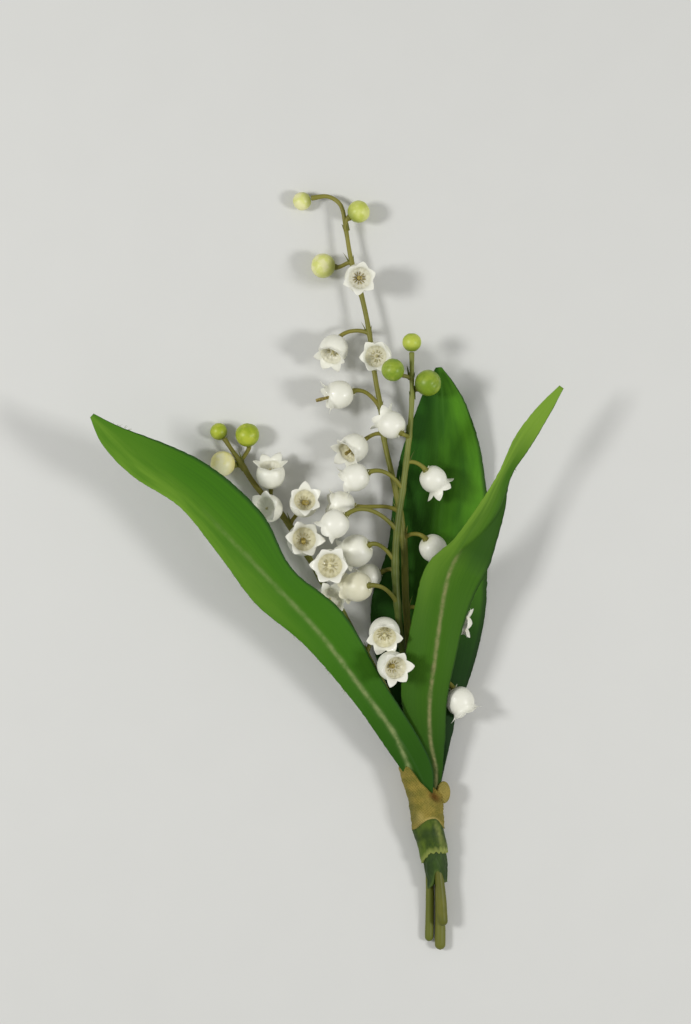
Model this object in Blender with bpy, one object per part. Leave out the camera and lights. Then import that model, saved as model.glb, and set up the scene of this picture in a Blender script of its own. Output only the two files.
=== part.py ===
"""A bunch of artificial lily of the valley, lying on its side: three leaves and three flower sprays, bound
at the base by a woven sheath and two turns of tape.

+X runs right, +Y along the bunch to the flower tips and +Z up. The origin is on the surface, under the
small flat of the green tape. The layout is in millimetres, and objects are made in metres."""

import math

import bpy
from mathutils import Vector

MM = 0.001
GAP = 0.3  # clearance between neighbouring pieces

STEM_SIDES = 8
STALK_SIDES = 6
STALK_RADIUS = 0.55
STALK_STEPS = 6
STALK_FLARE = 1.35  # how much thicker a flower stalk is where it meets its bloom
STALK_LEAN = 0.8  # how much a stalk sets off along the stem, against straight out of it
STALK_BEND = 0.35  # share of a stalk's length over which it keeps its first direction
STALK_HOOK = 0.4  # share of a stalk's length over which it turns into its bloom
BRACT_LENGTH = 3.4
BRACT_WIDTH = 1.3
BRACT_THICKNESS = 0.7
BRACT_LEAN = 0.35  # how much a bract leans away from the stem
BRACT_OFFSET = 0.5  # from the stem's axis to the bract's foot

# Blooms have their crown at 0 and are drawn as (radius, height) in shares of the body's radius.
BELL_SIDES = 12  # two to each lobe
BELL_OUTSIDE = ((0.56, 0.13), (0.93, 0.6), (1.0, 1.08), (0.8, 1.62))
LOBE_ROOT = (0.84, 1.78)
LOBE_REACH = (0.56, 0.32)  # from the root to the tip of a full lobe
LOBE_NOTCH = (0.84, 1.76)
BELL_INSIDE = ((0.62, 1.66), (0.7, 0.95))
PISTIL = ((0.14, 0.62), (0.13, 1.4))
PISTIL_TOP = 1.52
BUD_SIDES = 10
BUD_OUTSIDE = ((0.5, 0.12), (0.88, 0.52), (1.0, 1.02), (0.86, 1.52), (0.46, 1.9))
BUD_DIMPLE = 1.88

LEAF_THICKNESS = 0.7
LEAF_COLUMNS = 6

WRAP_SIDES = 24
WRAP_SQUARENESS = 2.4  # exponent of the wraps' rounded section
FLAT_DEPTH = 0.15  # how far the wraps' section is cut off to make the flat that they rest on

# Each stem runs from its cut end to its tip: x, y, z and radius.
TALL_STEM = (
    (2.2, -29.0, 1.6, 1.55),
    (2.2, -16.0, 1.9, 1.4),
    (1.5, 0.0, 2.3, 1.1),
    (0.0, 9.0, 3.0, 1.05),
    (-1.5, 16.0, 3.4, 1.05),
    (-3.0, 30.0, 4.0, 1.05),
    (-5.0, 44.0, 4.8, 1.0),
    (-6.5, 55.0, 5.5, 1.0),
    (-7.5, 69.0, 6.5, 1.0),
    (-8.0, 84.5, 7.0, 1.0),
    (-9.5, 95.5, 7.5, 0.9),
    (-11.5, 104.5, 8.0, 0.8),
    (-13.5, 113.5, 8.0, 0.75),
    (-14.5, 122.5, 7.2, 0.75),
    (-16.0, 131.0, 6.4, 0.7),
    (-17.5, 142.5, 6.0, 0.7),
    (-19.5, 152.5, 5.6, 0.7),
    (-22.5, 163.0, 5.0, 0.65),
    (-24.0, 171.5, 4.6, 0.6),
    (-25.0, 177.5, 4.2, 0.6),
    (-26.5, 180.0, 3.9, 0.6),
    (-29.5, 181.5, 3.3, 0.6),
)
MIDDLE_STEM = (
    (3.0, -22.2, 4.5, 1.4),
    (2.4, -14.0, 4.7, 1.45),
    (1.7, -6.5, 4.8, 1.2),
    (0.5, 0.0, 4.9, 1.1),
    (-1.0, 9.5, 5.6, 1.05),
    (-2.5, 16.5, 6.1, 1.05),
    (-4.0, 30.5, 6.5, 1.0),
    (-6.5, 44.0, 7.2, 1.0),
    (-8.5, 55.5, 8.0, 1.0),
    (-9.5, 63.5, 9.0, 1.0),
    (-10.5, 77.5, 11.0, 1.0),
    (-10.0, 88.5, 12.0, 0.95),
    (-8.5, 99.5, 12.5, 0.85),
    (-7.3, 109.0, 13.0, 0.8),
    (-6.1, 121.5, 13.0, 0.7),
    (-6.0, 131.0, 13.0, 0.6),
)
LEFT_STEM = (
    (-0.9, -26.5, 1.3, 1.2),
    (-0.7, -18.0, 1.5, 1.2),
    (-0.7, -10.5, 1.9, 1.15),
    (-1.1, 0.0, 2.4, 1.1),
    (-3.0, 9.0, 3.2, 1.05),
    (-4.6, 16.0, 3.6, 1.0),
    (-7.5, 30.0, 4.6, 1.0),
    (-11.0, 40.0, 5.5, 0.95),
    (-16.5, 50.5, 6.2, 0.9),
    (-21.5, 59.0, 5.8, 0.9),
    (-25.0, 65.5, 5.0, 0.85),
    (-30.0, 73.0, 4.2, 0.85),
    (-34.0, 80.0, 3.7, 0.85),
    (-41.0, 91.5, 3.6, 0.85),
    (-49.0, 100.5, 4.0, 0.8),
    (-53.5, 107.5, 4.0, 0.7),
    (-56.0, 111.0, 3.4, 0.6),
)

# Bells: centre of the round body, the way the mouth faces, body radius, lobe length against the full one,
# turn of the lobes in degrees, and how far along the bunch the flower stalk leaves the stem.
TALL_BELLS = (
    ((-20.5, 158.0, 10.8), (0.1, -0.1, 1.0), 4.0, 0.8, 35, 154.5),
    ((-27.5, 138.5, 8.0), (-0.3, -0.7, 0.6), 4.0, 1.0, 20, 143.5),
    ((-15.5, 136.5, 11.4), (-0.15, -0.1, 1.0), 4.0, 0.8, 0, 134.0),
    ((-26.0, 126.0, 8.0), (-0.95, -0.25, 0.1), 3.9, 1.0, 0, 122.5),
    ((-22.0, 111.2, 7.8), (-0.65, -0.5, 0.55), 4.0, 1.0, 30, 114.5),
    ((-25.5, 95.5, 10.0), (-0.95, 0.1, 0.1), 3.8, 0.8, 0, 93.0),
    ((0.0, 83.5, 9.2), (0.5, -0.6, -0.45), 3.8, 0.8, 0, 86.5),
    ((6.5, 63.0, 7.0), (0.9, -0.1, 0.2), 3.8, 0.9, 30, 67.0),
    ((7.5, 41.0, 6.5), (0.45, -0.85, 0.1), 4.0, 0.9, 10, 44.0),
)
MIDDLE_BELLS = (
    ((-11.7, 117.5, 14.2), (-0.65, 0.55, -0.35), 3.8, 0.9, 0, 114.0),
    ((0.0, 102.5, 10.5), (0.55, -0.65, -0.4), 3.7, 1.0, 0, 107.0),
    ((-21.5, 103.0, 14.5), (-0.9, -0.35, -0.1), 3.8, 0.8, 0, 99.5),
    ((-27.2, 90.2, 16.8), (-0.75, -0.6, -0.1), 3.9, 0.8, 30, 88.5),
    ((-21.3, 82.8, 9.0), (-0.78, -0.36, -0.5), 4.5, 0.6, 0, 79.5),
    ((-17.8, 75.6, 4.4), (-0.85, -0.3, 0.2), 3.5, 0.5, 0, 76.5),
    ((-21.0, 73.0, 13.9), (-0.75, -0.1, -0.6), 4.1, 0.5, 0, 68.0),
)
LEFT_BELLS = (
    ((-45.0, 104.0, 6.1), (0.0, 0.85, 0.5), 4.0, 1.0, 0, 95.5),
    ((-45.5, 94.5, 8.8), (-0.4, 0.1, 0.9), 3.9, 1.0, 0, 93.0),
    ((-35.7, 96.0, 9.5), (0.1, 0.3, 0.95), 4.0, 0.8, 48, 89.5),
    ((-36.0, 85.8, 10.2), (0.15, 0.1, 1.0), 4.4, 0.85, 51, 82.0),
    ((-28.4, 78.9, 16.5), (0.0, 0.0, 1.0), 4.5, 0.85, 57, 75.0),
    ((-29.0, 69.0, 9.5), (0.35, 0.25, 0.9), 4.0, 0.8, 0, 66.0),
    ((-13.5, 60.3, 12.0), (0.0, -0.4, 0.9), 4.3, 0.8, 5, 54.0),
    ((-11.5, 51.5, 17.4), (0.35, -0.15, 0.95), 4.1, 0.9, 0, 47.5),
)

# Buds: centre, the way the tip points, radius, and how far along the bunch the stalk leaves the stem.
# The first bud of each spray has no stalk: the stem itself runs on to it.
TALL_BUDS = (
    ((-36.4, 180.2, 2.6), (-1.0, -0.3, -0.1), 2.55, None),
    ((-20.5, 177.0, 5.5), (0.8, 0.5, 0.1), 3.1, 172.0),
    ((-30.5, 162.0, 4.8), (-1.0, 0.1, 0.1), 3.4, 163.0),
)
MIDDLE_BUDS = (
    ((-6.0, 140.2, 13.0), (0.0, 1.0, 0.1), 2.6, None),
    ((-11.3, 132.3, 17.8), (-0.5, 0.3, 0.8), 3.1, 130.0),
    ((-1.5, 129.0, 13.5), (0.8, 0.4, 0.4), 3.6, 124.5),
)
LEFT_BUDS = (
    ((-59.6, 116.0, 2.5), (-0.6, 0.75, -0.1), 2.4, None),
    ((-51.5, 115.0, 4.8), (-0.1, 0.8, 0.6), 3.3, 107.0),
    ((-58.5, 107.0, 3.7), (-1.0, 0.1, 0.2), 3.5, 105.5),
)

# Leaves, from the stalk in the sheath to the tip: midrib x, y, z, the widths to its left and right as one
# looks along the leaf, and how much higher than the midrib those two edges lie.
LEFT_LEAF = (
    (-0.3, 8.0, 7.4, 1.5, 1.5, 0.0, 0.0),
    (-1.6, 14.5, 8.0, 1.6, 1.6, 0.0, 0.0),
    (-4.0, 21.0, 8.4, 3.2, 4.2, -0.6, 0.0),
    (-9.0, 30.0, 10.4, 4.2, 5.0, -0.6, 0.3),
    (-19.0, 44.0, 13.0, 4.0, 6.0, 0.0, -0.5),
    (-31.5, 60.5, 16.0, 5.2, 8.6, 0.3, -0.6),
    (-43.5, 73.5, 18.5, 7.2, 6.5, 0.5, -0.8),
    (-54.5, 85.0, 20.5, 5.2, 11.0, 0.5, -1.5),
    (-66.5, 97.5, 22.5, 3.7, 10.2, 0.4, -1.2),
    (-78.5, 107.0, 24.5, 5.0, 7.0, 0.2, -0.6),
    (-87.0, 114.5, 26.0, 4.0, 2.8, 0.0, 0.0),
    (-92.5, 119.5, 27.0, 0.7, 0.7, 0.0, 0.0),
)
RIGHT_LEAF = (
    (1.4, 8.5, 4.9, 0.9, 0.9, 0.0, 0.0),
    (1.0, 15.5, 5.3, 1.0, 1.0, 0.0, 0.0),
    (0.8, 22.5, 6.9, 1.5, 2.0, 0.0, 0.0),
    (-0.8, 31.0, 9.4, 4.8, 4.2, -0.6, -0.6),
    (-1.0, 42.0, 12.0, 7.8, 4.8, -2.6, -1.4),
    (0.5, 54.5, 14.5, 8.0, 5.7, -2.6, -1.6),
    (2.0, 66.0, 16.0, 7.4, 7.0, -1.8, -1.6),
    (4.0, 76.5, 17.5, 6.6, 9.0, -0.6, -1.8),
    (8.0, 84.5, 19.0, 3.2, 8.8, 0.3, -2.4),
    (14.5, 94.5, 20.0, 2.6, 5.0, 0.4, -2.4),
    (18.7, 103.7, 20.5, 1.4, 2.2, 0.2, -0.6),
    (23.8, 112.8, 21.0, 2.3, 2.8, 0.2, -0.2),
    (29.5, 120.5, 21.0, 2.2, 1.8, 0.0, 0.0),
    (34.5, 127.5, 20.5, 0.7, 0.7, 0.0, 0.0),
)
BACK_LEAF = (
    (-0.6, 11.0, 1.3, 2.0, 2.0, 0.0, 0.0),
    (0.0, 15.5, 1.6, 2.0, 2.0, 0.0, 0.0),
    (0.8, 22.0, 1.8, 2.6, 2.6, 0.0, 0.0),
    (0.0, 31.5, 2.0, 5.6, 5.9, 0.0, -0.8),
    (-2.0, 41.0, 2.1, 8.4, 10.6, 0.0, -1.6),
    (-2.0, 53.5, 2.2, 14.0, 14.3, -0.6, -1.8),
    (-1.0, 67.5, 2.2, 16.0, 16.0, -0.8, -1.8),
    (0.0, 83.0, 2.4, 12.4, 15.5, -0.4, -1.6),
    (1.5, 97.0, 3.4, 12.4, 14.0, 0.0, -1.4),
    (2.5, 109.5, 5.0, 11.2, 11.2, 0.4, -0.8),
    (2.5, 120.5, 7.0, 7.6, 7.8, 0.4, -0.4),
    (2.0, 128.0, 8.3, 4.3, 4.4, 0.2, 0.0),
    (1.5, 133.5, 9.2, 0.8, 0.8, 0.0, 0.0),
)
LEAF_ROWS = 30

# Wrapped part of the bundle: along the bunch, middle, half width and height of the top.
BUNDLE = (
    (-13.0, 1.4, 3.3, 6.0),
    (-9.0, 1.4, 3.3, 6.3),
    (-4.0, 0.8, 3.7, 6.8),
    (0.0, 0.0, 4.1, 7.1),
    (5.0, -1.2, 4.5, 8.0),
    (9.0, -1.5, 4.6, 8.9),
    (13.5, -2.0, 4.8, 9.5),
    (17.0, -2.8, 4.9, 9.7),
    (24.0, -4.0, 5.0, 9.8),
)
SHEATH_FOOT = 5.0
SHEATH_ARCH = 2.6  # how much higher its foot is in the middle of the arch, on top at the right
ARCH_PLACE = 65  # degrees round from the right
SHEATH_HEAD = 18.0
SHEATH_SLANT = 2.2  # how much higher its mouth is at the left than in the middle
SHEATH_DIP = 2.0  # how much lower it is on top
SHEATH_CORNER = 3.2  # and how much it rises again over the left leaf
SHEATH_LIFT = 0.1
SHEATH_RINGS = 6
TAPE_RINGS = 4
TAPE_FOOT = -1.5
TAPE_DROP = 3.4  # how much lower the ragged edge of the green tape hangs at its left
TAPE_RAGS = 0.5
TAPE_LAP = 0.8  # from the green tape's edge to the dark tape
DARK_TAPE_FOOT = -10.6
DARK_TAPE_INSET = 0.35
STEM_PORT = 3.4  # how much sooner the dark tape ends over the front stem
PASSAGE_ENDS = (-22.0, 26.0)

TAB_CENTRE = (3.0, 15.7, 6.0)
TAB_SIZE = (3.8, 6.2, 1.7)
TAB_SIDES = 14
TAB_RINGS = 5
PASSAGE_SIDES = 12
SHARP_EDGE = 50  # degrees
ROUGHNESS = {"bell": 0.35, "bud": 0.3, "stem": 0.5, "leaf": 0.55, "sheath": 0.8, "tape": 0.6}

LEAF_GREEN = (0.045, 0.20, 0.02)
BACK_GREEN = (0.02, 0.11, 0.015)
STEM_OLIVE = (0.22, 0.21, 0.05)
BELL_WHITE = (0.85, 0.85, 0.79)
BUD_GREEN = (0.34, 0.46, 0.05)
SHEATH_BROWN = (0.36, 0.26, 0.10)
TAPE_GREEN = (0.14, 0.20, 0.04)
DARK_TAPE_GREEN = (0.06, 0.11, 0.04)


def clear_scene():
    for obj in list(bpy.data.objects):
        bpy.data.objects.remove(obj)


def finish(obj, colour, roughness):
    """Gives an object a material of its own."""
    material = bpy.data.materials.new(obj.name)
    material.use_nodes = True
    shader = material.node_tree.nodes["Principled BSDF"]
    shader.inputs["Base Color"].default_value = (*colour, 1.0)
    shader.inputs["Roughness"].default_value = roughness
    shader.inputs["Metallic"].default_value = 0.0
    obj.data.materials.clear()
    obj.data.materials.append(material)
    obj.data.shade_smooth()
    obj.data.set_sharp_from_angle(angle=math.radians(SHARP_EDGE))


def mesh_object(name, points, faces):
    """One object from points in millimetres, with its faces turned outwards."""
    mesh = bpy.data.meshes.new(name)
    mesh.from_pydata([Vector(point) * MM for point in points], [], faces)
    obj = bpy.data.objects.new(name, mesh)
    bpy.context.scene.collection.objects.link(obj)
    if signed_volume(points, faces) < 0:
        mesh.flip_normals()
    return obj


def signed_volume(points, faces):
    total = 0.0
    for face in faces:
        first = Vector(points[face[0]])
        for here, after in zip(face[1:], face[2:]):
            total += first.dot(Vector(points[here]).cross(Vector(points[after])))
    return total


def hide_helper(obj):
    obj.hide_render = True
    obj.display_type = "WIRE"


def empty_at(name, point):
    empty = bpy.data.objects.new(name, None)
    empty.empty_display_size = 0.005
    empty.location = Vector(point) * MM
    bpy.context.scene.collection.objects.link(empty)
    return empty


def attach(obj, parent):
    """Parents an object that is modelled in place, and keeps it there."""
    obj.parent = parent
    obj.location = obj.location - parent.location


def blended(rows, place):
    """The row at a place along a Catmull-Rom curve through the rows, where each row is 1 from the next."""
    last = len(rows) - 1
    index = min(int(place), last - 1)
    t = place - index
    before, start, end, after = (rows[min(max(index + k, 0), last)] for k in (-1, 0, 1, 2))
    return [
        0.5 * (2 * q + (r - p) * t + (2 * p - 5 * q + 4 * r - s) * t * t + (3 * q - p - 3 * r + s) * t**3)
        for p, q, r, s in zip(before, start, end, after)
    ]


def smooth(rows, count):
    """The given number of rows, evenly spaced along a smooth curve through the given ones."""
    steps_each = 12
    fine = [blended(rows, k / steps_each) for k in range((len(rows) - 1) * steps_each + 1)]
    reach = [0.0]
    for here, after in zip(fine, fine[1:]):
        reach.append(reach[-1] + (Vector(after[:3]) - Vector(here[:3])).length)
    result = []
    index = 0
    for k in range(count):
        wanted = reach[-1] * k / (count - 1)
        while index < len(fine) - 2 and reach[index + 1] < wanted:
            index += 1
        span = reach[index + 1] - reach[index]
        share = min(1.0, (wanted - reach[index]) / span)
        result.append([a + (b - a) * share for a, b in zip(fine[index], fine[index + 1])])
    return result


def directions(path):
    """The way a path runs at each of its points."""
    last = len(path) - 1
    return [(path[min(k + 1, last)] - path[max(k - 1, 0)]).normalized() for k in range(last + 1)]


def tube_object(name, path, radii, sides):
    """A closed round tube along a path."""
    points = []
    side_way = Vector((0, 0, 1))
    for point, along, radius in zip(path, directions(path), radii):
        side_way = (side_way - along * side_way.dot(along)).normalized()
        other_way = along.cross(side_way)
        for k in range(sides):
            angle = math.tau * k / sides
            points.append(point + (side_way * math.cos(angle) + other_way * math.sin(angle)) * radius)
    return mesh_object(name, points, ring_faces(len(path), sides) + end_faces(len(path), sides))


def ring_faces(rings, sides, first=0):
    """Quads between rings of points that follow each other."""
    return [
        (
            first + ring * sides + k,
            first + ring * sides + (k + 1) % sides,
            first + (ring + 1) * sides + (k + 1) % sides,
            first + (ring + 1) * sides + k,
        )
        for ring in range(rings - 1)
        for k in range(sides)
    ]


def end_faces(rings, sides):
    """The two flat ends of a tube of rings."""
    return [tuple(reversed(range(sides))), tuple(range((rings - 1) * sides, rings * sides))]


def fuse(obj, others):
    """Joins the other objects to the first in one Boolean union, and removes them."""
    group = bpy.data.collections.new(obj.name + "_parts")
    bpy.context.scene.collection.children.link(group)
    for other in others:
        bpy.context.scene.collection.objects.unlink(other)
        group.objects.link(other)
    union = obj.modifiers.new("union", "BOOLEAN")
    union.operation = "UNION"
    union.solver = "EXACT"
    union.operand_type = "COLLECTION"
    union.collection = group
    graph = bpy.context.evaluated_depsgraph_get()
    fused = bpy.data.meshes.new_from_object(obj.evaluated_get(graph))
    obj.modifiers.clear()
    obj.data = fused
    for other in others:
        bpy.data.objects.remove(other)
    bpy.data.collections.remove(group)


def flower_stalk(name, stem, root_y, crown, facing):
    """The stalk from a stem to a bloom's crown, and the bract at its root."""
    ways = directions(stem)
    root_index = min(range(len(stem)), key=lambda k: abs(stem[k].y - root_y))
    root = stem[root_index]
    end = crown - facing * GAP
    length = (end - root).length
    outward = ((end - root).normalized() + ways[root_index] * STALK_LEAN).normalized()
    bends = (root, root + outward * length * STALK_BEND, end - facing * length * STALK_HOOK, end)
    path = []
    for k in range(STALK_STEPS + 1):
        t = k / STALK_STEPS
        weights = ((1 - t) ** 3, 3 * t * (1 - t) ** 2, 3 * t * t * (1 - t), t**3)
        path.append(sum((bend * weight for bend, weight in zip(bends, weights)), Vector()))
    radii = [STALK_RADIUS * (1 + (STALK_FLARE - 1) * (k / STALK_STEPS) ** 3) for k in range(STALK_STEPS + 1)]
    stalk = tube_object(name, path, radii, STALK_SIDES)
    return [stalk, bract(name + "_bract", root, outward, ways[root_index])]


def bract(name, root, outward, along):
    """A small pointed bract, leaning between the stem and the flower stalk."""
    way = (outward * BRACT_LEAN + along).normalized()
    across = way.cross(Vector((0, 0, 1))).normalized()
    up = across.cross(way)
    side = outward - along * outward.dot(along)
    foot = root + side.normalized() * BRACT_OFFSET
    points = [
        foot + across * BRACT_WIDTH * u / 2 + up * BRACT_THICKNESS * v / 2
        for u, v in ((-1, -1), (1, -1), (1, 1), (-1, 1))
    ]
    points.append(foot + (way + outward * BRACT_LEAN).normalized() * BRACT_LENGTH)
    return mesh_object(name, points, [(3, 2, 1, 0), (0, 1, 4), (1, 2, 4), (2, 3, 4), (3, 0, 4)])


def bell_object(name, radius, lobe, turn):
    """A bell with its crown at the origin and its mouth to +Z: a round body, six lobes turned out from the
    mouth, an open throat and the pistil inside."""
    pistil_sides = BELL_SIDES // 2
    points = [(0.0, 0.0, 0.0)]
    for out, height in BELL_OUTSIDE:
        points += bell_ring(out, height, BELL_SIDES, turn)
    lobe_tip = (root + reach * lobe for root, reach in zip(LOBE_ROOT, LOBE_REACH))
    tips = bell_ring(*lobe_tip, BELL_SIDES, turn)
    notches = bell_ring(*LOBE_NOTCH, BELL_SIDES, turn)
    points += [tips[k] if k % 2 == 0 else notches[k] for k in range(BELL_SIDES)]
    for out, height in BELL_INSIDE:
        points += bell_ring(out, height, BELL_SIDES, turn)
    rings = len(BELL_OUTSIDE) + 1 + len(BELL_INSIDE)
    foot = len(points)
    for out, height in PISTIL:
        points += bell_ring(out, height, pistil_sides, turn)
    points.append((0.0, 0.0, PISTIL_TOP))

    faces = [(0, 1 + (k + 1) % BELL_SIDES, 1 + k) for k in range(BELL_SIDES)]
    for ring in range(rings - 1):
        for k in range(BELL_SIDES):
            a = 1 + ring * BELL_SIDES + k
            b = 1 + ring * BELL_SIDES + (k + 1) % BELL_SIDES
            c, d = b + BELL_SIDES, a + BELL_SIDES
            # The split leans the other way on each side of a lobe, so that the lobe is even.
            faces += [(a, b, c), (a, c, d)] if k % 2 else [(a, b, d), (b, c, d)]
    throat = foot - BELL_SIDES
    for k in range(pistil_sides):
        near, far = foot + k, foot + (k + 1) % pistil_sides
        edge = [throat + (2 * k + step) % BELL_SIDES for step in (0, 1, 2)]
        faces += [(edge[0], edge[1], near), (edge[1], far, near), (edge[1], edge[2], far)]
        faces += [(near, far, far + pistil_sides, near + pistil_sides)]
        faces.append((near + pistil_sides, far + pistil_sides, len(points) - 1))
    return mesh_object(name, [Vector(point) * radius for point in points], faces)


def bell_ring(out, height, sides, turn):
    angles = [math.radians(turn) + math.tau * k / sides for k in range(sides)]
    return [(out * math.cos(angle), out * math.sin(angle), height) for angle in angles]


def bud_object(name, radius):
    """A round bud with its foot at the origin, and a small dimple at its tip on +Z."""
    points = [(0.0, 0.0, 0.0)]
    for out, height in BUD_OUTSIDE:
        points += bell_ring(out, height, BUD_SIDES, 0)
    points.append((0.0, 0.0, BUD_DIMPLE))
    top = len(points) - 1
    faces = [(0, 1 + (k + 1) % BUD_SIDES, 1 + k) for k in range(BUD_SIDES)]
    faces += ring_faces(len(BUD_OUTSIDE), BUD_SIDES, first=1)
    faces += [(top - BUD_SIDES + k, top - BUD_SIDES + (k + 1) % BUD_SIDES, top) for k in range(BUD_SIDES)]
    return mesh_object(name, [Vector(point) * radius for point in points], faces)


def place_bloom(obj, crown, facing, parent):
    obj.rotation_mode = "QUATERNION"
    obj.rotation_quaternion = facing.to_track_quat("Z", "Y")
    obj.location = crown * MM
    attach(obj, parent)


def stem_tip(bud):
    """The last row of a stem, where it meets the bud at its tip."""
    centre, facing, radius, _ = bud
    return (*(Vector(centre) - Vector(facing).normalized() * (radius + GAP)), STALK_RADIUS * STALK_FLARE)


def make_spray(name, stem_rows, bells, buds):
    """One stem with its flower stalks and bracts in a single body, and each bloom as a body of its own."""
    stem_rows = (*stem_rows, stem_tip(buds[0]))
    rows = smooth(stem_rows, 2 * len(stem_rows) + 3)
    path = [Vector(row[:3]) for row in rows]
    parent = empty_at(name + "_spray", path[0])
    stem = tube_object(name + "_stem", path, [row[3] for row in rows], STEM_SIDES)
    # Stalks leave from a finer reading of the same curve.
    fine = [Vector(row[:3]) for row in smooth(stem_rows, 20 * len(stem_rows))]
    parts = []
    for k, (centre, facing, radius, lobe, turn, root_y) in enumerate(bells, 1):
        facing = Vector(facing).normalized()
        crown = Vector(centre) - facing * radius
        bell = bell_object(f"{name}_bell_{k}", radius, lobe, turn)
        place_bloom(bell, crown, facing, parent)
        finish(bell, BELL_WHITE, ROUGHNESS["bell"])
        parts += flower_stalk(f"{name}_stalk_{k}", fine, root_y, crown, facing)
    for k, (centre, facing, radius, root_y) in enumerate(buds, 1):
        facing = Vector(facing).normalized()
        crown = Vector(centre) - facing * radius
        bud = bud_object(f"{name}_bud_{k}", radius)
        place_bloom(bud, crown, facing, parent)
        finish(bud, BUD_GREEN, ROUGHNESS["bud"])
        if root_y is not None:
            parts += flower_stalk(f"{name}_bud_stalk_{k}", fine, root_y, crown, facing)
    fuse(stem, parts)
    finish(stem, STEM_OLIVE, ROUGHNESS["stem"])
    attach(stem, parent)


def leaf_object(name, rows, count, columns, thickness, margin=0.0):
    """A leaf of even thickness: its midline runs smoothly through the rows, and its blade lies square to
    the midline, with the triangles split alike on both faces."""
    rows = smooth(rows, count)
    middles = [Vector(row[:3]) for row in rows]
    sheet = []
    for middle, along, row in zip(middles, directions(middles), rows):
        leftward = Vector((-along.y, along.x, 0)).normalized()
        left_width, right_width, left_rise, right_rise = row[3:7]
        line = []
        for k in range(columns + 1):
            share = 2 * k / columns - 1
            width, rise = (left_width, left_rise) if share < 0 else (right_width, right_rise)
            line.append(middle + leftward * -share * (width + margin) + Vector((0, 0, rise * share * share)))
        sheet.append(line)
    upper = []
    lower = []
    for i, line in enumerate(sheet):
        for k, point in enumerate(line):
            along = sheet[min(i + 1, count - 1)][k] - sheet[max(i - 1, 0)][k]
            across = line[min(k + 1, columns)] - line[max(k - 1, 0)]
            normal = across.cross(along).normalized()
            upper.append(point + normal * thickness / 2)
            lower.append(point - normal * thickness / 2)
    width = columns + 1
    under = len(upper)
    faces = []
    for i in range(count - 1):
        for k in range(columns):
            a = i * width + k
            b, c, d = a + 1, a + 1 + width, a + width
            faces += [(a, b, c), (a, c, d)]
            faces += [(under + c, under + b, under + a), (under + d, under + c, under + a)]
    left_side = [i * width for i in range(count)]
    right_side = [i * width + columns for i in range(count)]
    tip = [(count - 1) * width + k for k in range(width)]
    rim = list(range(width)) + right_side[1:] + tip[-2::-1] + left_side[-2:0:-1]
    for here, after in zip(rim, rim[1:] + rim[:1]):
        faces.append((here, under + here, under + after, after))
    return mesh_object(name, upper + lower, faces)


def make_leaf(name, rows, colour):
    leaf = leaf_object(name, rows, LEAF_ROWS, LEAF_COLUMNS, LEAF_THICKNESS)
    finish(leaf, colour, ROUGHNESS["leaf"])


def bundle_section(y, angle, inset):
    """A point on the rounded, flat-bottomed section of the wrapped bundle."""
    last = len(BUNDLE) - 1
    index = next((k for k in range(last) if BUNDLE[k + 1][0] >= y), last - 1)
    low, high = BUNDLE[index], BUNDLE[index + 1]
    share = (y - low[0]) / (high[0] - low[0])
    middle, half_width, top = (a + (b - a) * share for a, b in zip(low[1:], high[1:]))
    half_height = (top + FLAT_DEPTH) / 2 - inset / 2
    power = 2 / WRAP_SQUARENESS
    across = math.copysign(abs(math.cos(angle)) ** power, math.cos(angle))
    up = math.copysign(abs(math.sin(angle)) ** power, math.sin(angle))
    z = top - inset - half_height + up * half_height
    return Vector((middle + across * (half_width - inset), y, max(z, 0.0)))


def wrap_object(name, foot, head, rings, inset, lift):
    """A solid length of the bundle between two edges that wander as they go round it."""
    angles = [math.tau * k / WRAP_SIDES for k in range(WRAP_SIDES)]
    points = []
    for ring in range(rings):
        share = ring / (rings - 1)
        for k, angle in enumerate(angles):
            y = foot(k, angle) + (head(k, angle) - foot(k, angle)) * share
            point = bundle_section(y, angle, inset)
            points.append(point + Vector((0, 0, lift)))
    faces = ring_faces(rings, WRAP_SIDES)
    for ring in (0, rings - 1):
        loop = list(range(ring * WRAP_SIDES, (ring + 1) * WRAP_SIDES))
        middle = sum((points[index] for index in loop), Vector()) / WRAP_SIDES
        points.append(middle)
        ends = zip(loop, loop[1:] + loop[:1])
        faces += [(b, a, len(points) - 1) if ring == 0 else (a, b, len(points) - 1) for a, b in ends]
    return mesh_object(name, points, faces)


def sheath_foot(_, angle):
    """The sheath's foot arches up on top."""
    return SHEATH_FOOT + SHEATH_ARCH * max(0.0, math.cos(angle - math.radians(ARCH_PLACE))) ** 3


def tape_head(_, angle):
    return sheath_foot(_, angle) - GAP


def sheath_head(_, angle):
    """The sheath's mouth runs higher up at the left, where it folds over the left leaf."""
    corner = SHEATH_CORNER * max(0.0, -math.cos(angle)) ** 2
    return SHEATH_HEAD - SHEATH_SLANT * math.cos(angle) - SHEATH_DIP * math.sin(angle) + corner


def ragged_edge(k, angle):
    rags = TAPE_RAGS if k % 2 else -TAPE_RAGS
    return TAPE_FOOT - TAPE_DROP * max(0.0, -math.cos(angle)) ** 1.5 + rags


def dark_tape_foot(_, angle):
    over_stem = max(0.0, math.sin(angle)) ** 2
    return DARK_TAPE_FOOT + STEM_PORT * over_stem


def cut(obj, cutters):
    for cutter in cutters:
        difference = obj.modifiers.new(cutter.name, "BOOLEAN")
        difference.operation = "DIFFERENCE"
        difference.solver = "EXACT"
        difference.object = cutter


def stem_passage(name, stem_rows):
    rows = smooth(stem_rows, 2 * len(stem_rows))
    rows = [row for row in rows if PASSAGE_ENDS[0] <= row[1] <= PASSAGE_ENDS[1]]
    return tube_object(name, [Vector(row[:3]) for row in rows], [row[3] + GAP for row in rows], PASSAGE_SIDES)


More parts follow.
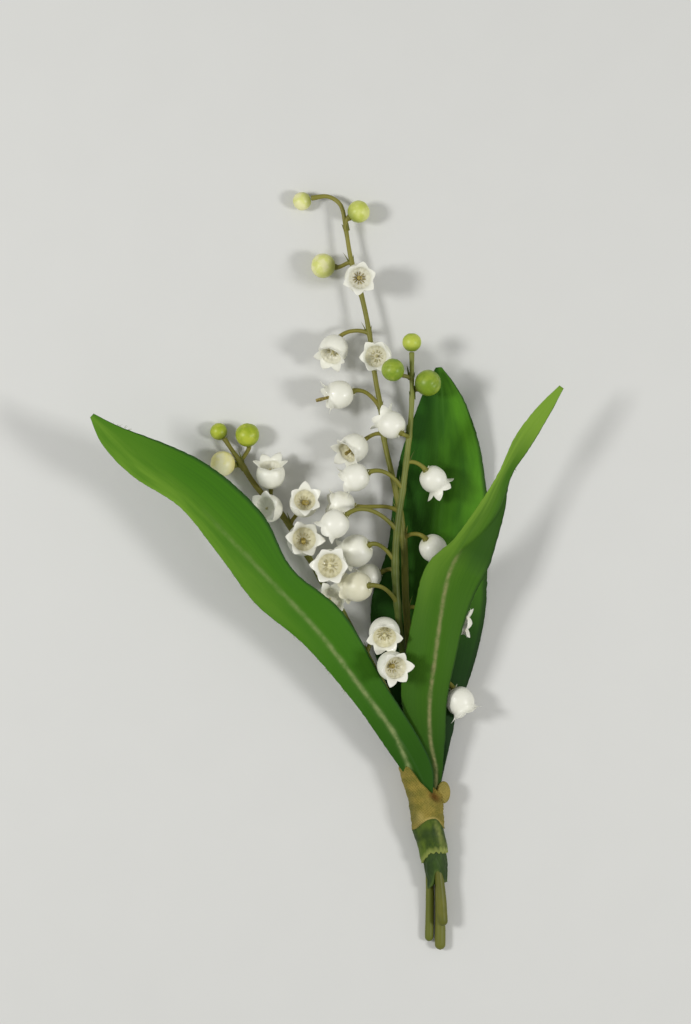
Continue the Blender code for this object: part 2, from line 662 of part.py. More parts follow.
def stalk_slot(name, leaf_rows):
    """The room that a leaf's stalk takes in the sheath."""
    rows = [row for row in smooth(leaf_rows, LEAF_ROWS) if row[1] <= PASSAGE_ENDS[1]]
    first, second = Vector(rows[0][:3]), Vector(rows[1][:3])
    rows[0][:3] = first + (first - second).normalized() * GAP
    return leaf_object(name, rows, len(rows), LEAF_COLUMNS, LEAF_THICKNESS + 2 * GAP, margin=GAP)


def tab_object():
    """The small oval tab on the right of the sheath."""
    points = []
    for ring in range(TAB_RINGS):
        lean = math.pi * (ring + 0.5) / TAB_RINGS
        for k in range(TAB_SIDES):
            angle = math.tau * k / TAB_SIDES
            shape = (math.sin(lean) * math.cos(angle), math.sin(lean) * math.sin(angle), -math.cos(lean))
            points.append([c + s * size / 2 for c, s, size in zip(TAB_CENTRE, shape, TAB_SIZE)])
    faces = ring_faces(TAB_RINGS, TAB_SIDES) + end_faces(TAB_RINGS, TAB_SIDES)
    return mesh_object("tab", points, faces)


def make_wraps():
    stems = {"tall": TALL_STEM, "middle": MIDDLE_STEM, "left": LEFT_STEM}
    passages = [stem_passage(f"{name}_passage", rows) for name, rows in stems.items()]
    leaves = {"left": LEFT_LEAF, "right": RIGHT_LEAF, "back": BACK_LEAF}
    slots = [stalk_slot(f"{name}_slot", rows) for name, rows in leaves.items()]
    for helper in passages + slots:
        hide_helper(helper)

    sheath = wrap_object("sheath", sheath_foot, sheath_head, SHEATH_RINGS, 0.0, SHEATH_LIFT)
    fuse(sheath, [tab_object()])
    cut(sheath, passages + slots)
    finish(sheath, SHEATH_BROWN, ROUGHNESS["sheath"])

    tape = wrap_object("green_tape", ragged_edge, tape_head, TAPE_RINGS, 0.0, 0.0)
    cut(tape, passages)
    finish(tape, TAPE_GREEN, ROUGHNESS["tape"])

    def dark_tape_head(k, angle):
        return ragged_edge(k, angle) - TAPE_LAP

    dark_tape = wrap_object("dark_tape", dark_tape_foot, dark_tape_head, TAPE_RINGS, DARK_TAPE_INSET, 0.0)
    cut(dark_tape, passages)
    finish(dark_tape, DARK_TAPE_GREEN, ROUGHNESS["tape"])


def make_part():
    clear_scene()
    make_leaf("left_leaf", LEFT_LEAF, LEAF_GREEN)
    make_leaf("right_leaf", RIGHT_LEAF, LEAF_GREEN)
    make_leaf("back_leaf", BACK_LEAF, BACK_GREEN)
    make_spray("tall", TALL_STEM, TALL_BELLS, TALL_BUDS)
    make_spray("middle", MIDDLE_STEM, MIDDLE_BELLS, MIDDLE_BUDS)
    make_spray("left", LEFT_STEM, LEFT_BELLS, LEFT_BUDS)
    make_wraps()


make_part()
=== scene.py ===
"""The looks of a bunch of artificial lily of the valley on a pale surface: fabric leaves, moulded plastic
sprays, and a base bound with woven cloth and florist's tape.

Sizes are in millimetres, and objects are made in metres. +X runs right, +Y along the bunch to the flower
tips and +Z up. The tables of stems, blooms, leaves and the bundle are the CAD part's own."""

from math import copysign, cos, exp, pi, radians, sin, tau

import bpy
import numpy as np
from mathutils import Matrix, Vector, noise


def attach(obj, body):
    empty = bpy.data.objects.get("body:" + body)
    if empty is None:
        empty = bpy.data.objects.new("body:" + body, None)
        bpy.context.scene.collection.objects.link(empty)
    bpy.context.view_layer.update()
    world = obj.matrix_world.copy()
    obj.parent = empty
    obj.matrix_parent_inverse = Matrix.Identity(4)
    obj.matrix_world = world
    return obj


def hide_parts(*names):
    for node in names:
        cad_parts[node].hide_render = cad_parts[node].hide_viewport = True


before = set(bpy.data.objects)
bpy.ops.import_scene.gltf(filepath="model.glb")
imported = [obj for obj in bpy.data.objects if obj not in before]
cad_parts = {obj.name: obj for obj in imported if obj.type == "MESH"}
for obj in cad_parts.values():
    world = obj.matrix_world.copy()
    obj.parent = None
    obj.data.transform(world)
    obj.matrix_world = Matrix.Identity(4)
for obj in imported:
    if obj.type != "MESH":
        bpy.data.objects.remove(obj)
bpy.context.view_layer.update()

MM = 0.001

# Each stem runs from its cut end to its tip: x, y, z and radius.
TALL_STEM = (
    (2.2, -29, 1.6, 1.55),
    (2.2, -16, 1.9, 1.4),
    (1.5, 0, 2.3, 1.1),
    (0, 9, 3, 1.05),
    (-1.5, 16, 3.4, 1.05),
    (-3, 30, 4, 1.05),
    (-5, 44, 4.8, 1),
    (-6.5, 55, 5.5, 1),
    (-7.5, 69, 6.5, 1),
    (-8, 84.5, 7, 1),
    (-9.5, 95.5, 7.5, 0.9),
    (-11.5, 104.5, 8, 0.8),
    (-13.5, 113.5, 8, 0.75),
    (-14.5, 122.5, 7.2, 0.75),
    (-16, 131, 6.4, 0.7),
    (-17.5, 142.5, 6, 0.7),
    (-19.5, 152.5, 5.6, 0.7),
    (-22.5, 163, 5, 0.65),
    (-24, 171.5, 4.6, 0.6),
    (-25, 177.5, 4.2, 0.6),
    (-26.5, 180, 3.9, 0.6),
    (-29.5, 181.5, 3.3, 0.6),
)
MIDDLE_STEM = (
    (3, -22.2, 4.5, 1.4),
    (2.4, -14, 4.7, 1.45),
    (1.7, -6.5, 4.8, 1.2),
    (0.5, 0, 4.9, 1.1),
    (-1, 9.5, 5.6, 1.05),
    (-2.5, 16.5, 6.1, 1.05),
    (-4, 30.5, 6.5, 1),
    (-6.5, 44, 7.2, 1),
    (-8.5, 55.5, 8, 1),
    (-9.5, 63.5, 9, 1),
    (-10.5, 77.5, 11, 1),
    (-10, 88.5, 12, 0.95),
    (-8.5, 99.5, 12.5, 0.85),
    (-7.3, 109, 13, 0.8),
    (-6.1, 121.5, 13, 0.7),
    (-6, 131, 13, 0.6),
)
LEFT_STEM = (
    (-0.9, -26.5, 1.3, 1.2),
    (-0.7, -18, 1.5, 1.2),
    (-0.7, -10.5, 1.9, 1.15),
    (-1.1, 0, 2.4, 1.1),
    (-3, 9, 3.2, 1.05),
    (-4.6, 16, 3.6, 1),
    (-7.5, 30, 4.6, 1),
    (-11, 40, 5.5, 0.95),
    (-16.5, 50.5, 6.2, 0.9),
    (-21.5, 59, 5.8, 0.9),
    (-25, 65.5, 5, 0.85),
    (-30, 73, 4.2, 0.85),
    (-34, 80, 3.7, 0.85),
    (-41, 91.5, 3.6, 0.85),
    (-49, 100.5, 4, 0.8),
    (-53.5, 107.5, 4, 0.7),
    (-56, 111, 3.4, 0.6),
)

# Bells: centre of the round body, the way the mouth faces, body radius, lobe length against the full one,
# turn of the lobes in degrees, and how far along the bunch the flower stalk leaves the stem.
TALL_BELLS = (
    ((-20.5, 158, 10.8), (0.1, -0.1, 1), 4, 0.8, 35, 154.5),
    ((-27.5, 138.5, 8), (-0.3, -0.7, 0.6), 4, 1, 20, 143.5),
    ((-15.5, 136.5, 11.4), (-0.15, -0.1, 1), 4, 0.8, 0, 134),
    ((-26, 126, 8), (-0.95, -0.25, 0.1), 3.9, 1, 0, 122.5),
    ((-22, 111.2, 7.8), (-0.65, -0.5, 0.55), 4, 1, 30, 114.5),
    ((-25.5, 95.5, 10), (-0.95, 0.1, 0.1), 3.8, 0.8, 0, 93),
    ((0, 83.5, 9.2), (0.5, -0.6, -0.45), 3.8, 0.8, 0, 86.5),
    ((6.5, 63, 7), (0.9, -0.1, 0.2), 3.8, 0.9, 30, 67),
    ((7.5, 41, 6.5), (0.45, -0.85, 0.1), 4, 0.9, 10, 44),
)
MIDDLE_BELLS = (
    ((-11.7, 117.5, 14.2), (-0.65, 0.55, -0.35), 3.8, 0.9, 0, 114),
    ((0, 102.5, 10.5), (0.55, -0.65, -0.4), 3.7, 1, 0, 107),
    ((-21.5, 103, 14.5), (-0.9, -0.35, -0.1), 3.8, 0.8, 0, 99.5),
    ((-27.2, 90.2, 16.8), (-0.75, -0.6, -0.1), 3.9, 0.8, 30, 88.5),
    ((-21.3, 82.8, 9), (-0.78, -0.36, -0.5), 4.5, 0.6, 0, 79.5),
    ((-17.8, 75.6, 4.4), (-0.85, -0.3, 0.2), 3.5, 0.5, 0, 76.5),
    ((-21, 73, 13.9), (-0.75, -0.1, -0.6), 4.1, 0.5, 0, 68),
)
LEFT_BELLS = (
    ((-45, 104, 6.1), (0, 0.85, 0.5), 4, 1, 0, 95.5),
    ((-45.5, 94.5, 8.8), (-0.4, 0.1, 0.9), 3.9, 1, 0, 93),
    ((-35.7, 96, 9.5), (0.1, 0.3, 0.95), 4, 0.8, 48, 89.5),
    ((-36, 85.8, 10.2), (0.15, 0.1, 1), 4.4, 0.85, 51, 82),
    ((-28.4, 78.9, 16.5), (0, 0, 1), 4.5, 0.85, 57, 75),
    ((-29, 69, 9.5), (0.35, 0.25, 0.9), 4, 0.8, 0, 66),
    ((-13.5, 60.3, 12), (0, -0.4, 0.9), 4.3, 0.8, 5, 54),
    ((-11.5, 51.5, 17.4), (0.35, -0.15, 0.95), 4.1, 0.9, 0, 47.5),
)

# Buds: centre, the way the tip points, radius, where along the bunch the stalk leaves the stem (None where
# the stem itself runs on to it), and the material.
TALL_BUDS = (
    ((-36.4, 180.2, 2.6), (-1, -0.3, -0.1), 2.55, None, "pale"),
    ((-20.5, 177, 5.5), (0.8, 0.5, 0.1), 3.1, 172, "light"),
    ((-30.5, 162, 4.8), (-1, 0.1, 0.1), 3.4, 163, "pale"),
)
MIDDLE_BUDS = (
    ((-6, 140.2, 13), (0, 1, 0.1), 2.6, None, "yellow"),
    ((-11.3, 132.3, 17.8), (-0.5, 0.3, 0.8), 3.1, 130, "green"),
    ((-1.5, 129, 13.5), (0.8, 0.4, 0.4), 3.6, 124.5, "green"),
)
LEFT_BUDS = (
    ((-59.6, 116, 2.5), (-0.6, 0.75, -0.1), 2.4, None, "lime"),
    ((-51.5, 115, 4.8), (-0.1, 0.8, 0.6), 3.3, 107, "lime"),
    ((-58.5, 107, 3.7), (-1, 0.1, 0.2), 3.5, 105.5, "cream"),
)

# Leaves, from the stalk in the sheath to the tip: midrib x, y, z, the widths to its left and right as one
# looks along the leaf, and how much higher than the midrib those two edges lie.
LEFT_LEAF = (
    (-0.3, 8, 7.4, 1.5, 1.5, 0, 0),
    (-1.6, 14.5, 8, 1.6, 1.6, 0, 0),
    (-4, 21, 8.4, 3.2, 4.2, -0.6, 0),
    (-9, 30, 10.4, 4.2, 5, -0.6, 0.3),
    (-19, 44, 13, 4, 6, 0, -0.5),
    (-31.5, 60.5, 16, 5.2, 8.6, 0.3, -0.6),
    (-43.5, 73.5, 18.5, 7.2, 6.5, 0.5, -0.8),
    (-54.5, 85, 20.5, 5.2, 11, 0.5, -1.5),
    (-66.5, 97.5, 22.5, 3.7, 10.2, 0.4, -1.2),
    (-78.5, 107, 24.5, 5, 7, 0.2, -0.6),
    (-87, 114.5, 26, 4, 2.8, 0, 0),
    (-92.5, 119.5, 27, 0.7, 0.7, 0, 0),
)
RIGHT_LEAF = (
    (1.4, 8.5, 4.9, 0.9, 0.9, 0, 0),
    (1, 15.5, 5.3, 1, 1, 0, 0),
    (0.8, 22.5, 6.9, 1.5, 2, 0, 0),
    (-0.8, 31, 9.4, 4.8, 4.2, -0.6, -0.6),
    (-1, 42, 12, 7.8, 4.8, -2.6, -1.4),
    (0.5, 54.5, 14.5, 8, 5.7, -2.6, -1.6),
    (2, 66, 16, 7.4, 7, -1.8, -1.6),
    (4, 76.5, 17.5, 6.6, 9, -0.6, -1.8),
    (8, 84.5, 19, 3.2, 8.8, 0.3, -2.4),
    (14.5, 94.5, 20, 2.6, 5, 0.4, -2.4),
    (18.7, 103.7, 20.5, 1.4, 2.2, 0.2, -0.6),
    (23.8, 112.8, 21, 2.3, 2.8, 0.2, -0.2),
    (29.5, 120.5, 21, 2.2, 1.8, 0, 0),
    (34.5, 127.5, 20.5, 0.7, 0.7, 0, 0),
)
BACK_LEAF = (
    (-0.6, 11, 1.3, 2, 2, 0, 0),
    (0, 15.5, 1.6, 2, 2, 0, 0),
    (0.8, 22, 1.8, 2.6, 2.6, 0, 0),
    (0, 31.5, 2, 5.6, 5.9, 0, -0.8),
    (-2, 41, 2.1, 8.4, 10.6, 0, -1.6),
    (-2, 53.5, 2.2, 14, 14.3, -0.6, -1.8),
    (-1, 67.5, 2.2, 16, 16, -0.8, -1.8),
    (0, 83, 2.4, 12.4, 15.5, -0.4, -1.6),
    (1.5, 97, 3.4, 12.4, 14, 0, -1.4),
    (2.5, 109.5, 5, 11.2, 11.2, 0.4, -0.8),
    (2.5, 120.5, 7, 7.6, 7.8, 0.4, -0.4),
    (2, 128, 8.3, 4.3, 4.4, 0.2, 0),
    (1.5, 133.5, 9.2, 0.8, 0.8, 0, 0),
)

# Wrapped part of the bundle: along the bunch, middle, half width and height of the top.
BUNDLE = (
    (-13, 1.4, 3.3, 6),
    (-9, 1.4, 3.3, 6.3),
    (-4, 0.8, 3.7, 6.8),
    (0, 0, 4.1, 7.1),
    (5, -1.2, 4.5, 8),
    (9, -1.5, 4.6, 8.9),
    (13.5, -2, 4.8, 9.5),
    (17, -2.8, 4.9, 9.7),
    (24, -4, 5, 9.8),
)
WRAP_SQUARENESS = 2.4
FLAT_DEPTH = 0.15
# Edges of the wraps, along the bunch. Places round it are angles from +X.
SHEATH_FOOT = 5.3
SHEATH_ARCH = 3.6
ARCH_PLACE = radians(76)
SHEATH_HEAD = 18.0
SHEATH_SLANT = 2.2
SHEATH_DIP = 2.0
SHEATH_CORNER = 3.2
SHEATH_LAP = 4.8  # how much higher it reaches where it laps over the left leaf
LAP_PLACE = radians(118)
LAP_WIDTH = radians(28)
SHEATH_TOP = 23.4
TAPE_FOOT = -0.9
TAPE_DROP = 3.4
DARK_TAPE_FOOT = -10.4
DARK_TAPE_INSET = 0.35
STEM_PORT = 4.4  # how much sooner the dark tape ends over the middle stem
PORT_WIDTH = 0.42  # in shares of the bundle's half width
TAB_CENTRE = (3.0, 15.7, 6.0)
TAB_SIZE = (3.8, 6.2, 1.7)

random = np.random.default_rng(11)


# Curves and meshes


def smooth(rows, count):
    """Evenly spaced rows along a Catmull-Rom curve through the given ones."""
    rows = np.array(rows, float)
    padded = np.vstack([rows[:1], rows, rows[-1:]])
    t = np.linspace(0, 1, 12, endpoint=False)[:, None]
    spans = []
    for p, q, r, s in zip(padded, padded[1:], padded[2:], padded[3:]):
        cubic = 3 * q - p - 3 * r + s
        spans.append(0.5 * (2 * q + (r - p) * t + (2 * p - 5 * q + 4 * r - s) * t * t + cubic * t**3))
    fine = np.vstack([*spans, rows[-1:]])
    reach = np.append(0, np.cumsum(np.linalg.norm(np.diff(fine[:, :3], axis=0), axis=1)))
    wanted = np.linspace(0, reach[-1], count)
    return np.column_stack([np.interp(wanted, reach, column) for column in fine.T])


def profile(pairs, count):
    """Evenly spaced radii and heights along a curve through the given ones."""
    return smooth([(r, z, 0) for r, z in pairs], count)[:, :2]


def swell(distance, width):
    """1 in the middle, falling smoothly to nearly 0 at twice the width."""
    return np.exp(-((distance / width) ** 2))


def unit(vectors):
    vectors = np.asarray(vectors, float)
    return vectors / np.maximum(np.linalg.norm(vectors, axis=-1, keepdims=True), 1e-9)


def grid_faces(rows, columns, closed, first=0):
    """Quads of a grid of points, row by row; a closed grid runs round."""
    faces = []
    for row in range(first, first + (rows - 1) * columns, columns):
        for k in range(columns if closed else columns - 1):
            after = (k + 1) % columns
            faces.append((row + k, row + after, row + columns + after, row + columns + k))
    return faces


def tube_faces(rings, sides):
    """Faces of a closed tube, with both its ends."""
    last = (rings - 1) * sides
    ends = [tuple(reversed(range(sides))), tuple(range(last, last + sides))]
    return grid_faces(rings, sides, True) + ends


def sheet_faces(rows, columns):
    """Faces of a thin sheet closed all round: an upper grid of points, a lower one and the rim."""
    upper = grid_faces(rows, columns, False)
    under = rows * columns
    lower = [tuple(under + index for index in reversed(face)) for face in upper]
    left = [i * columns for i in range(rows)]
    right = [index + columns - 1 for index in left]
    tip = list(range(right[-1] - 1, left[-1], -1))
    rim = list(range(columns)) + right[1:] + tip + left[:0:-1]
    return upper + lower + [(a, under + a, under + b, b) for a, b in zip(rim, rim[1:] + rim[:1])]


def add_object(name, data):
    obj = bpy.data.objects.new(name, data)
    bpy.context.scene.collection.objects.link(obj)
    return obj


class Mesh:
    """Points and faces that grow piece by piece, with a material for each face and values for each point."""

    def __init__(self):
        self.points = []
        self.faces = []
        self.slots = []
        self.values = {}

    def add(self, points, faces, slot=0, **values):
        """Adds a piece, whose faces count its own points from 0."""
        first = len(self.points)
        self.points.extend(map(tuple, points))
        self.faces.extend(tuple(first + index for index in face) for face in faces)
        self.slots.extend([slot] * len(faces))
        for name, value in values.items():
            column = self.values.setdefault(name, [])
            column.extend([0.0] * (first - len(column)))
            column.extend(np.broadcast_to(value, len(points)).tolist())

    def build(self, name, materials):
        mesh = bpy.data.meshes.new(name)
        mesh.from_pydata([Vector(point) * MM for point in self.points], [], self.faces)
        mesh.polygons.foreach_set("material_index", self.slots)
        for material in materials:
            mesh.materials.append(material)
        for key, column in self.values.items():
            column.extend([0.0] * (len(self.points) - len(column)))
            mesh.attributes.new(key, "FLOAT", "POINT").data.foreach_set("value", column)
        mesh.shade_smooth()
        return add_object(name, mesh)


NEARLY_UPRIGHT = 0.99
# Rings that round off a tube's end: their size and distance past it, in shares of the radius.
END_RINGS = ((0.92, 0.1), (0.7, 0.2))


def tube(path, radii, sides, ribs=0.0):
    """Points and faces of a closed tube along a path, with rounded ends. ribs is how far six ridges stand
    out along it."""
    path = np.asarray(path, float)
    ways = unit(np.gradient(path, axis=0))
    upright = abs(ways[0][2]) > NEARLY_UPRIGHT
    side = np.array((1.0, 0.0, 0.0) if upright else (0.0, 0.0, 1.0))
    angles = np.linspace(0, tau, sides, endpoint=False)
    ridges = 1 + ribs * np.cos(6 * angles)
    rings = []
    for point, way, radius in zip(path, ways, radii):
        side = unit(side - way * side.dot(way))
        other = np.cross(way, side)
        reach = radius * ridges
        rings.append(point + np.outer(reach * np.cos(angles), side) + np.outer(reach * np.sin(angles), other))
    rings = round_end(rings[::-1], -ways[0], radii[0])[::-1]
    rings = round_end(rings, ways[-1], radii[-1])
    return np.vstack(rings), tube_faces(len(rings), sides)


def round_end(rings, way, radius):
    """Adds the smaller rings past the last one that round its edge."""
    last = rings[-1]
    middle = last.mean(axis=0)
    for share, step in END_RINGS:
        rings = [*rings, middle + (last - middle) * share + way * radius * step]
    return rings


def blunt(rows):
    """The rows of a stem, with its cut end rounded over."""
    radius = rows[0, 3]
    body = rows[np.linalg.norm(rows[:, :3] - rows[0, :3], axis=1) > radius]
    way = unit(rows[0, :3] - body[0, :3])
    turns = np.radians(np.arange(80, 0, -16))[:, None]
    return np.vstack([np.hstack([body[0, :3] + way * radius * np.sin(turns), radius * np.cos(turns)]), body])


def ripple(x, y, seed, size=1.0):
    """Smooth noise between -1 and 1 at a place on a surface."""
    return noise.noise((x / size, y / size, seed))


# Materials


class Shader:
    """A Principled material whose nodes are added one call at a time."""

    def __init__(self, name, **constants):
        self.material = bpy.data.materials.new(name)
        self.material.use_nodes = True
        self.tree = self.material.node_tree
        self.principled = self.tree.nodes["Principled BSDF"]
        for key, value in constants.items():
            self.principled.inputs[key.replace("_", " ")].default_value = value

    def node(self, kind, inputs, output=0, **settings):
        """The output of a new node, with values or other nodes' outputs put into it."""
        node = self.tree.nodes.new("ShaderNode" + kind)
        for key, value in settings.items():
            setattr(node, key, value)
        for key, value in inputs.items():
            if isinstance(value, bpy.types.NodeSocket):
                self.tree.links.new(value, node.inputs[key])
            else:
                node.inputs[key].default_value = value
        return node.outputs[output]

    def attribute(self, name):
        return self.node("Attribute", {}, output="Fac", attribute_name=name)

    def place(self):
        return self.node("TexCoord", {}, output="Object")

    def math(self, operation, a, b=0.0):
        return self.node("Math", {0: a, 1: b}, operation=operation)

    def times(self, a, b):
        return self.math("MULTIPLY", a, b)

    def between(self, value, low, high):
        """0 at low and 1 at high, with a smooth step between them."""
        inputs = {"Value": value, "From Min": low, "From Max": high}
        return self.node("MapRange", inputs, interpolation_type="SMOOTHSTEP")

    def vector(self, x, y):
        return self.node("CombineXYZ", {"X": x, "Y": y})

    def scaled(self, vector, scale):
        return self.node("Mapping", {"Vector": vector, "Scale": scale})

    def noise(self, vector, scale, detail=2.0, rough=0.5):
        inputs = {"Vector": vector, "Scale": scale, "Detail": detail, "Roughness": rough}
        return self.node("TexNoise", inputs, output="Fac")

    def mix(self, share, a, b):
        """A colour between two others."""
        inputs = {0: share, 6: a, 7: b}
        return self.node("Mix", inputs, output=2, data_type="RGBA")

    def paint(self, colour, height=None, depth=0.0):
        """The material in the given colour, with bumps where there is a height."""
        self.tree.links.new(colour, self.principled.inputs["Base Color"])
        if height:
            normal = self.node("Bump", {"Height": height, "Distance": depth})
            self.tree.links.new(normal, self.principled.inputs["Normal"])
        return self.material


def rgb(red, green, blue):
    """A colour given as it looks on a screen, from 0 to 255."""
    return (*(((value / 255 + 0.055) / 1.055) ** 2.4 for value in (red, green, blue)), 1.0)


def weave(look, pitch):
    """Height of a plain weave with the given distance between threads, in millimetres."""
    turns = pi / (pitch * MM)
    split = look.node("SeparateXYZ", {"Vector": look.place()}).node
    warp = look.math("SINE", look.times(split.outputs["X"], turns))
    weft = look.math("SINE", look.times(split.outputs["Y"], turns))
    return look.times(warp, weft)


# A leaf's dark, middle, bright, midrib and rim; the rim is painted shade along its turned-down right edge,
# and the dark and bright ones also paint its shade and light:
LEAF_COLOURS = {
    "left_leaf": ((38, 78, 14), (72, 130, 16), (110, 150, 44), (142, 154, 100), (30, 62, 26)),
    "right_leaf": ((38, 74, 14), (72, 118, 22), (122, 158, 52), (146, 142, 96), (36, 66, 20)),
    "back_leaf": ((18, 50, 10), (46, 96, 16), (84, 140, 28), (70, 104, 40), (26, 52, 18)),
}
# A bud's spray, body and foot:
BUD_COLOURS = {
    "pale": ((216, 220, 126), (234, 232, 172), (162, 168, 78)),
    "light": ((194, 203, 90), (216, 221, 130), (148, 160, 62)),
    "yellow": ((164, 184, 46), (188, 200, 78), (120, 138, 42)),
    "green": ((120, 148, 30), (150, 170, 54), (92, 112, 30)),
    "lime": ((152, 170, 32), (182, 192, 60), (118, 130, 34)),
    "cream": ((247, 240, 162), (250, 246, 200), (236, 226, 150)),
}
# A stem's dark and light streaks, tip and foot:
STEM_COLOURS = {
    "tall": ((92, 97, 32), (118, 118, 46), (142, 136, 64), (114, 116, 48)),
    "middle": ((60, 74, 20), (83, 95, 31), (128, 134, 60), (108, 108, 38)),
    "left": ((96, 106, 38), (120, 128, 52), (120, 114, 48), (100, 106, 38)),
}
# A tape's dark patches and painted shade, middle and torn edge:
TAPE_COLOURS = {
    "green_tape": ((44, 64, 20), (84, 104, 30), (144, 152, 76)),
    "dark_tape": ((42, 62, 24), (62, 86, 32), (92, 112, 46)),
}


def leaf_material(node, bright_from, bright_side, tip_share, base_end):
    """Printed satin with faint streaks, a broken pale line on the midrib and painted shade on its turned-down
    right edge.
    Painted light brightens it along bright_from, on the right where bright_side is 1 and the left where -1;
    it also brightens by tip_share at the tip. Painted shade darkens its base, up to base_end."""
    dark, middle, bright, midrib, rim = (rgb(*colour) for colour in LEAF_COLOURS[node])
    look = Shader(node + "_satin", Roughness=0.55, Specular_IOR_Level=0.12)
    across = look.attribute("across")
    along = look.attribute("along")
    lines = look.noise(look.vector(look.times(across, 16.0), along), 2.2)
    patches = look.noise(look.vector(across, look.times(along, 3.0)), 1.6, 3.0)
    colour = look.mix(look.between(lines, -1.1, 1.9), dark, middle)
    # Painted light: the side of the blade that catches the lamps is lighter.
    side = look.between(look.times(across, bright_side), -0.7, 0.8)
    reach = look.times(look.between(along, *bright_from), side)
    colour = look.mix(look.times(reach, look.between(patches, 0.2, 0.7)), colour, bright)
    colour = look.mix(look.times(look.between(along, 0.78, 0.92), tip_share), colour, bright)
    # Painted shade on the part of the blade past the fold, which is sunk and turned away from the light.
    colour = look.mix(look.times(look.attribute("fold"), 0.7), colour, dark)
    # Painted shade at the base, where the wraps, the stems and the leaves over it shade the blade.
    colour = look.mix(look.times(look.between(along, base_end, 0.06), 0.95), colour, dark)
    # Painted shade along the turned-down right edge.
    colour = look.mix(look.times(look.between(across, 0.88, 0.98), 0.75), colour, rim)
    blots = look.noise(look.place(), 420.0, 4.0, 0.7)
    rib = look.times(look.attribute("rib"), look.between(blots, 0.1, 0.8))
    threads = look.times(look.math("ADD", lines, weave(look, 0.22)), 0.3)
    return look.paint(look.mix(rib, colour, midrib), threads, 0.00004)


def bell_material():
    """Satin white plastic that turns beige down the throat."""
    look = Shader(
        "bell_white", Roughness=0.4, Subsurface_Weight=0.08, Subsurface_Radius=(1.0, 1.0, 1.0),
        Subsurface_Scale=0.0008, Coat_Weight=0.1,
    )
    place = look.place()
    cloud = look.noise(place, 350.0, 3.0)
    white = look.mix(cloud, rgb(232, 231, 214), rgb(243, 242, 230))
    white = look.mix(look.times(look.attribute("crown"), 0.5), white, rgb(205, 205, 160))
    throat = look.mix(cloud, rgb(206, 200, 164), rgb(228, 224, 194))
    colour = look.mix(look.attribute("throat"), white, throat)
    return look.paint(colour, look.noise(place, 900.0), 0.00004)


def style_material():
    """The pistil and stamens: yellow-brown paint that has run unevenly."""
    look = Shader("style_brown", Roughness=0.45)
    paint = look.noise(look.place(), 1800.0)
    brown = look.mix(look.between(paint, 0.35, 0.6), rgb(118, 102, 42), rgb(168, 152, 80))
    pale = look.mix(paint, rgb(200, 192, 140), rgb(232, 228, 190))
    colour = look.mix(look.between(look.attribute("tint"), 0.5, 0.8), brown, pale)
    return look.paint(colour, paint, 0.00005)


def bud_material(name):
    """Glossy plastic, sprayed in cloudy patches, with a foot of another colour."""
    tip, body, foot = (rgb(*colour) for colour in BUD_COLOURS[name])
    look = Shader(
        "bud_" + name, Roughness=0.42, Coat_Weight=0.12, Coat_Roughness=0.3, Specular_IOR_Level=0.35,
    )
    spray = look.noise(look.place(), 260.0, 3.0, 0.6)
    colour = look.mix(look.between(spray, 0.38, 0.6), body, tip)
    colour = look.mix(look.between(look.attribute("along"), 0.45, 0.0), colour, foot)
    return look.paint(colour, spray, 0.00005)


def stem_material(name):
    """Satin plastic, streaked and blotched, with other colours at its tip, its foot and the stalks."""
    dark, light, tip, foot = (rgb(*colour) for colour in STEM_COLOURS[name])
    look = Shader(name + "_stem_olive", Roughness=0.46, Specular_IOR_Level=0.25)
    along = look.attribute("along")
    around = look.attribute("around")
    streak = look.noise(look.vector(look.times(along, 12.0), around), 2.5, 3.0, 0.6)
    colour = look.mix(look.between(streak, 0.3, 0.7), dark, light)
    colour = look.mix(look.between(along, 0.5, 0.98), colour, tip)
    colour = look.mix(look.between(along, 0.2, 0.08), colour, foot)
    colour = look.mix(look.times(look.attribute("stalk"), 0.5), colour, rgb(138, 128, 54))
    blotch = look.between(look.noise(look.place(), 120.0, 3.0), 0.42, 0.62)
    return look.paint(look.mix(look.times(blotch, 0.35), colour, dark), blotch, 0.00004)


def sheath_material():
    """Brown woven cloth, with pale and greenish places, a faint rust-brown spot, and dark painted shade down
    the crease below the tab.
    """
    look = Shader("sheath_cloth", Roughness=0.7, Specular_IOR_Level=0.15)
    place = look.place()
    cloud = look.noise(place, 300.0, 4.0, 0.65)
    colour = look.mix(look.between(cloud, 0.35, 0.65), rgb(120, 113, 46), rgb(150, 133, 60))
    colour = look.mix(look.attribute("pale"), colour, rgb(176, 158, 90))
    # Dark rust-brown: painted shade down the crease, and a faint spot.
    colour = look.mix(look.attribute("rust"), colour, rgb(88, 58, 12))
    colour = look.mix(look.attribute("green"), colour, rgb(96, 98, 46))
    threads = look.math("ADD", weave(look, 0.42), look.noise(place, 1500.0))
    return look.paint(colour, threads, 0.00009)


def tape_material(node):
    """Waxed crepe tape: fine creases across it, dark patches, painted shade where it runs under the next
    wrap, and a lighter torn edge.
    """
    dark, middle, light = (rgb(*colour) for colour in TAPE_COLOURS[node])
    look = Shader(node + "_wax", Roughness=0.55, Specular_IOR_Level=0.2)
    place = look.place()
    cloud = look.noise(look.scaled(place, (1.0, 0.45, 1.0)), 260.0, 4.0, 0.6)
    colour = look.mix(look.between(cloud, 0.36, 0.62), dark, middle)
    colour = look.mix(look.attribute("dark"), colour, dark)
    colour = look.mix(look.attribute("pale"), colour, light)
    crepe = look.noise(look.scaled(place, (1.0, 0.2, 1.0)), 2200.0, 3.0)
    return look.paint(colour, look.math("ADD", crepe, cloud), 0.00016)


def thread_material():
    """Loose threads at a leaf's edge."""
    look = Shader("frayed_thread", Roughness=0.7)
    fluff = look.noise(look.place(), 900.0)
    return look.paint(look.mix(fluff, rgb(70, 95, 50), rgb(170, 175, 140)))


# Leaves

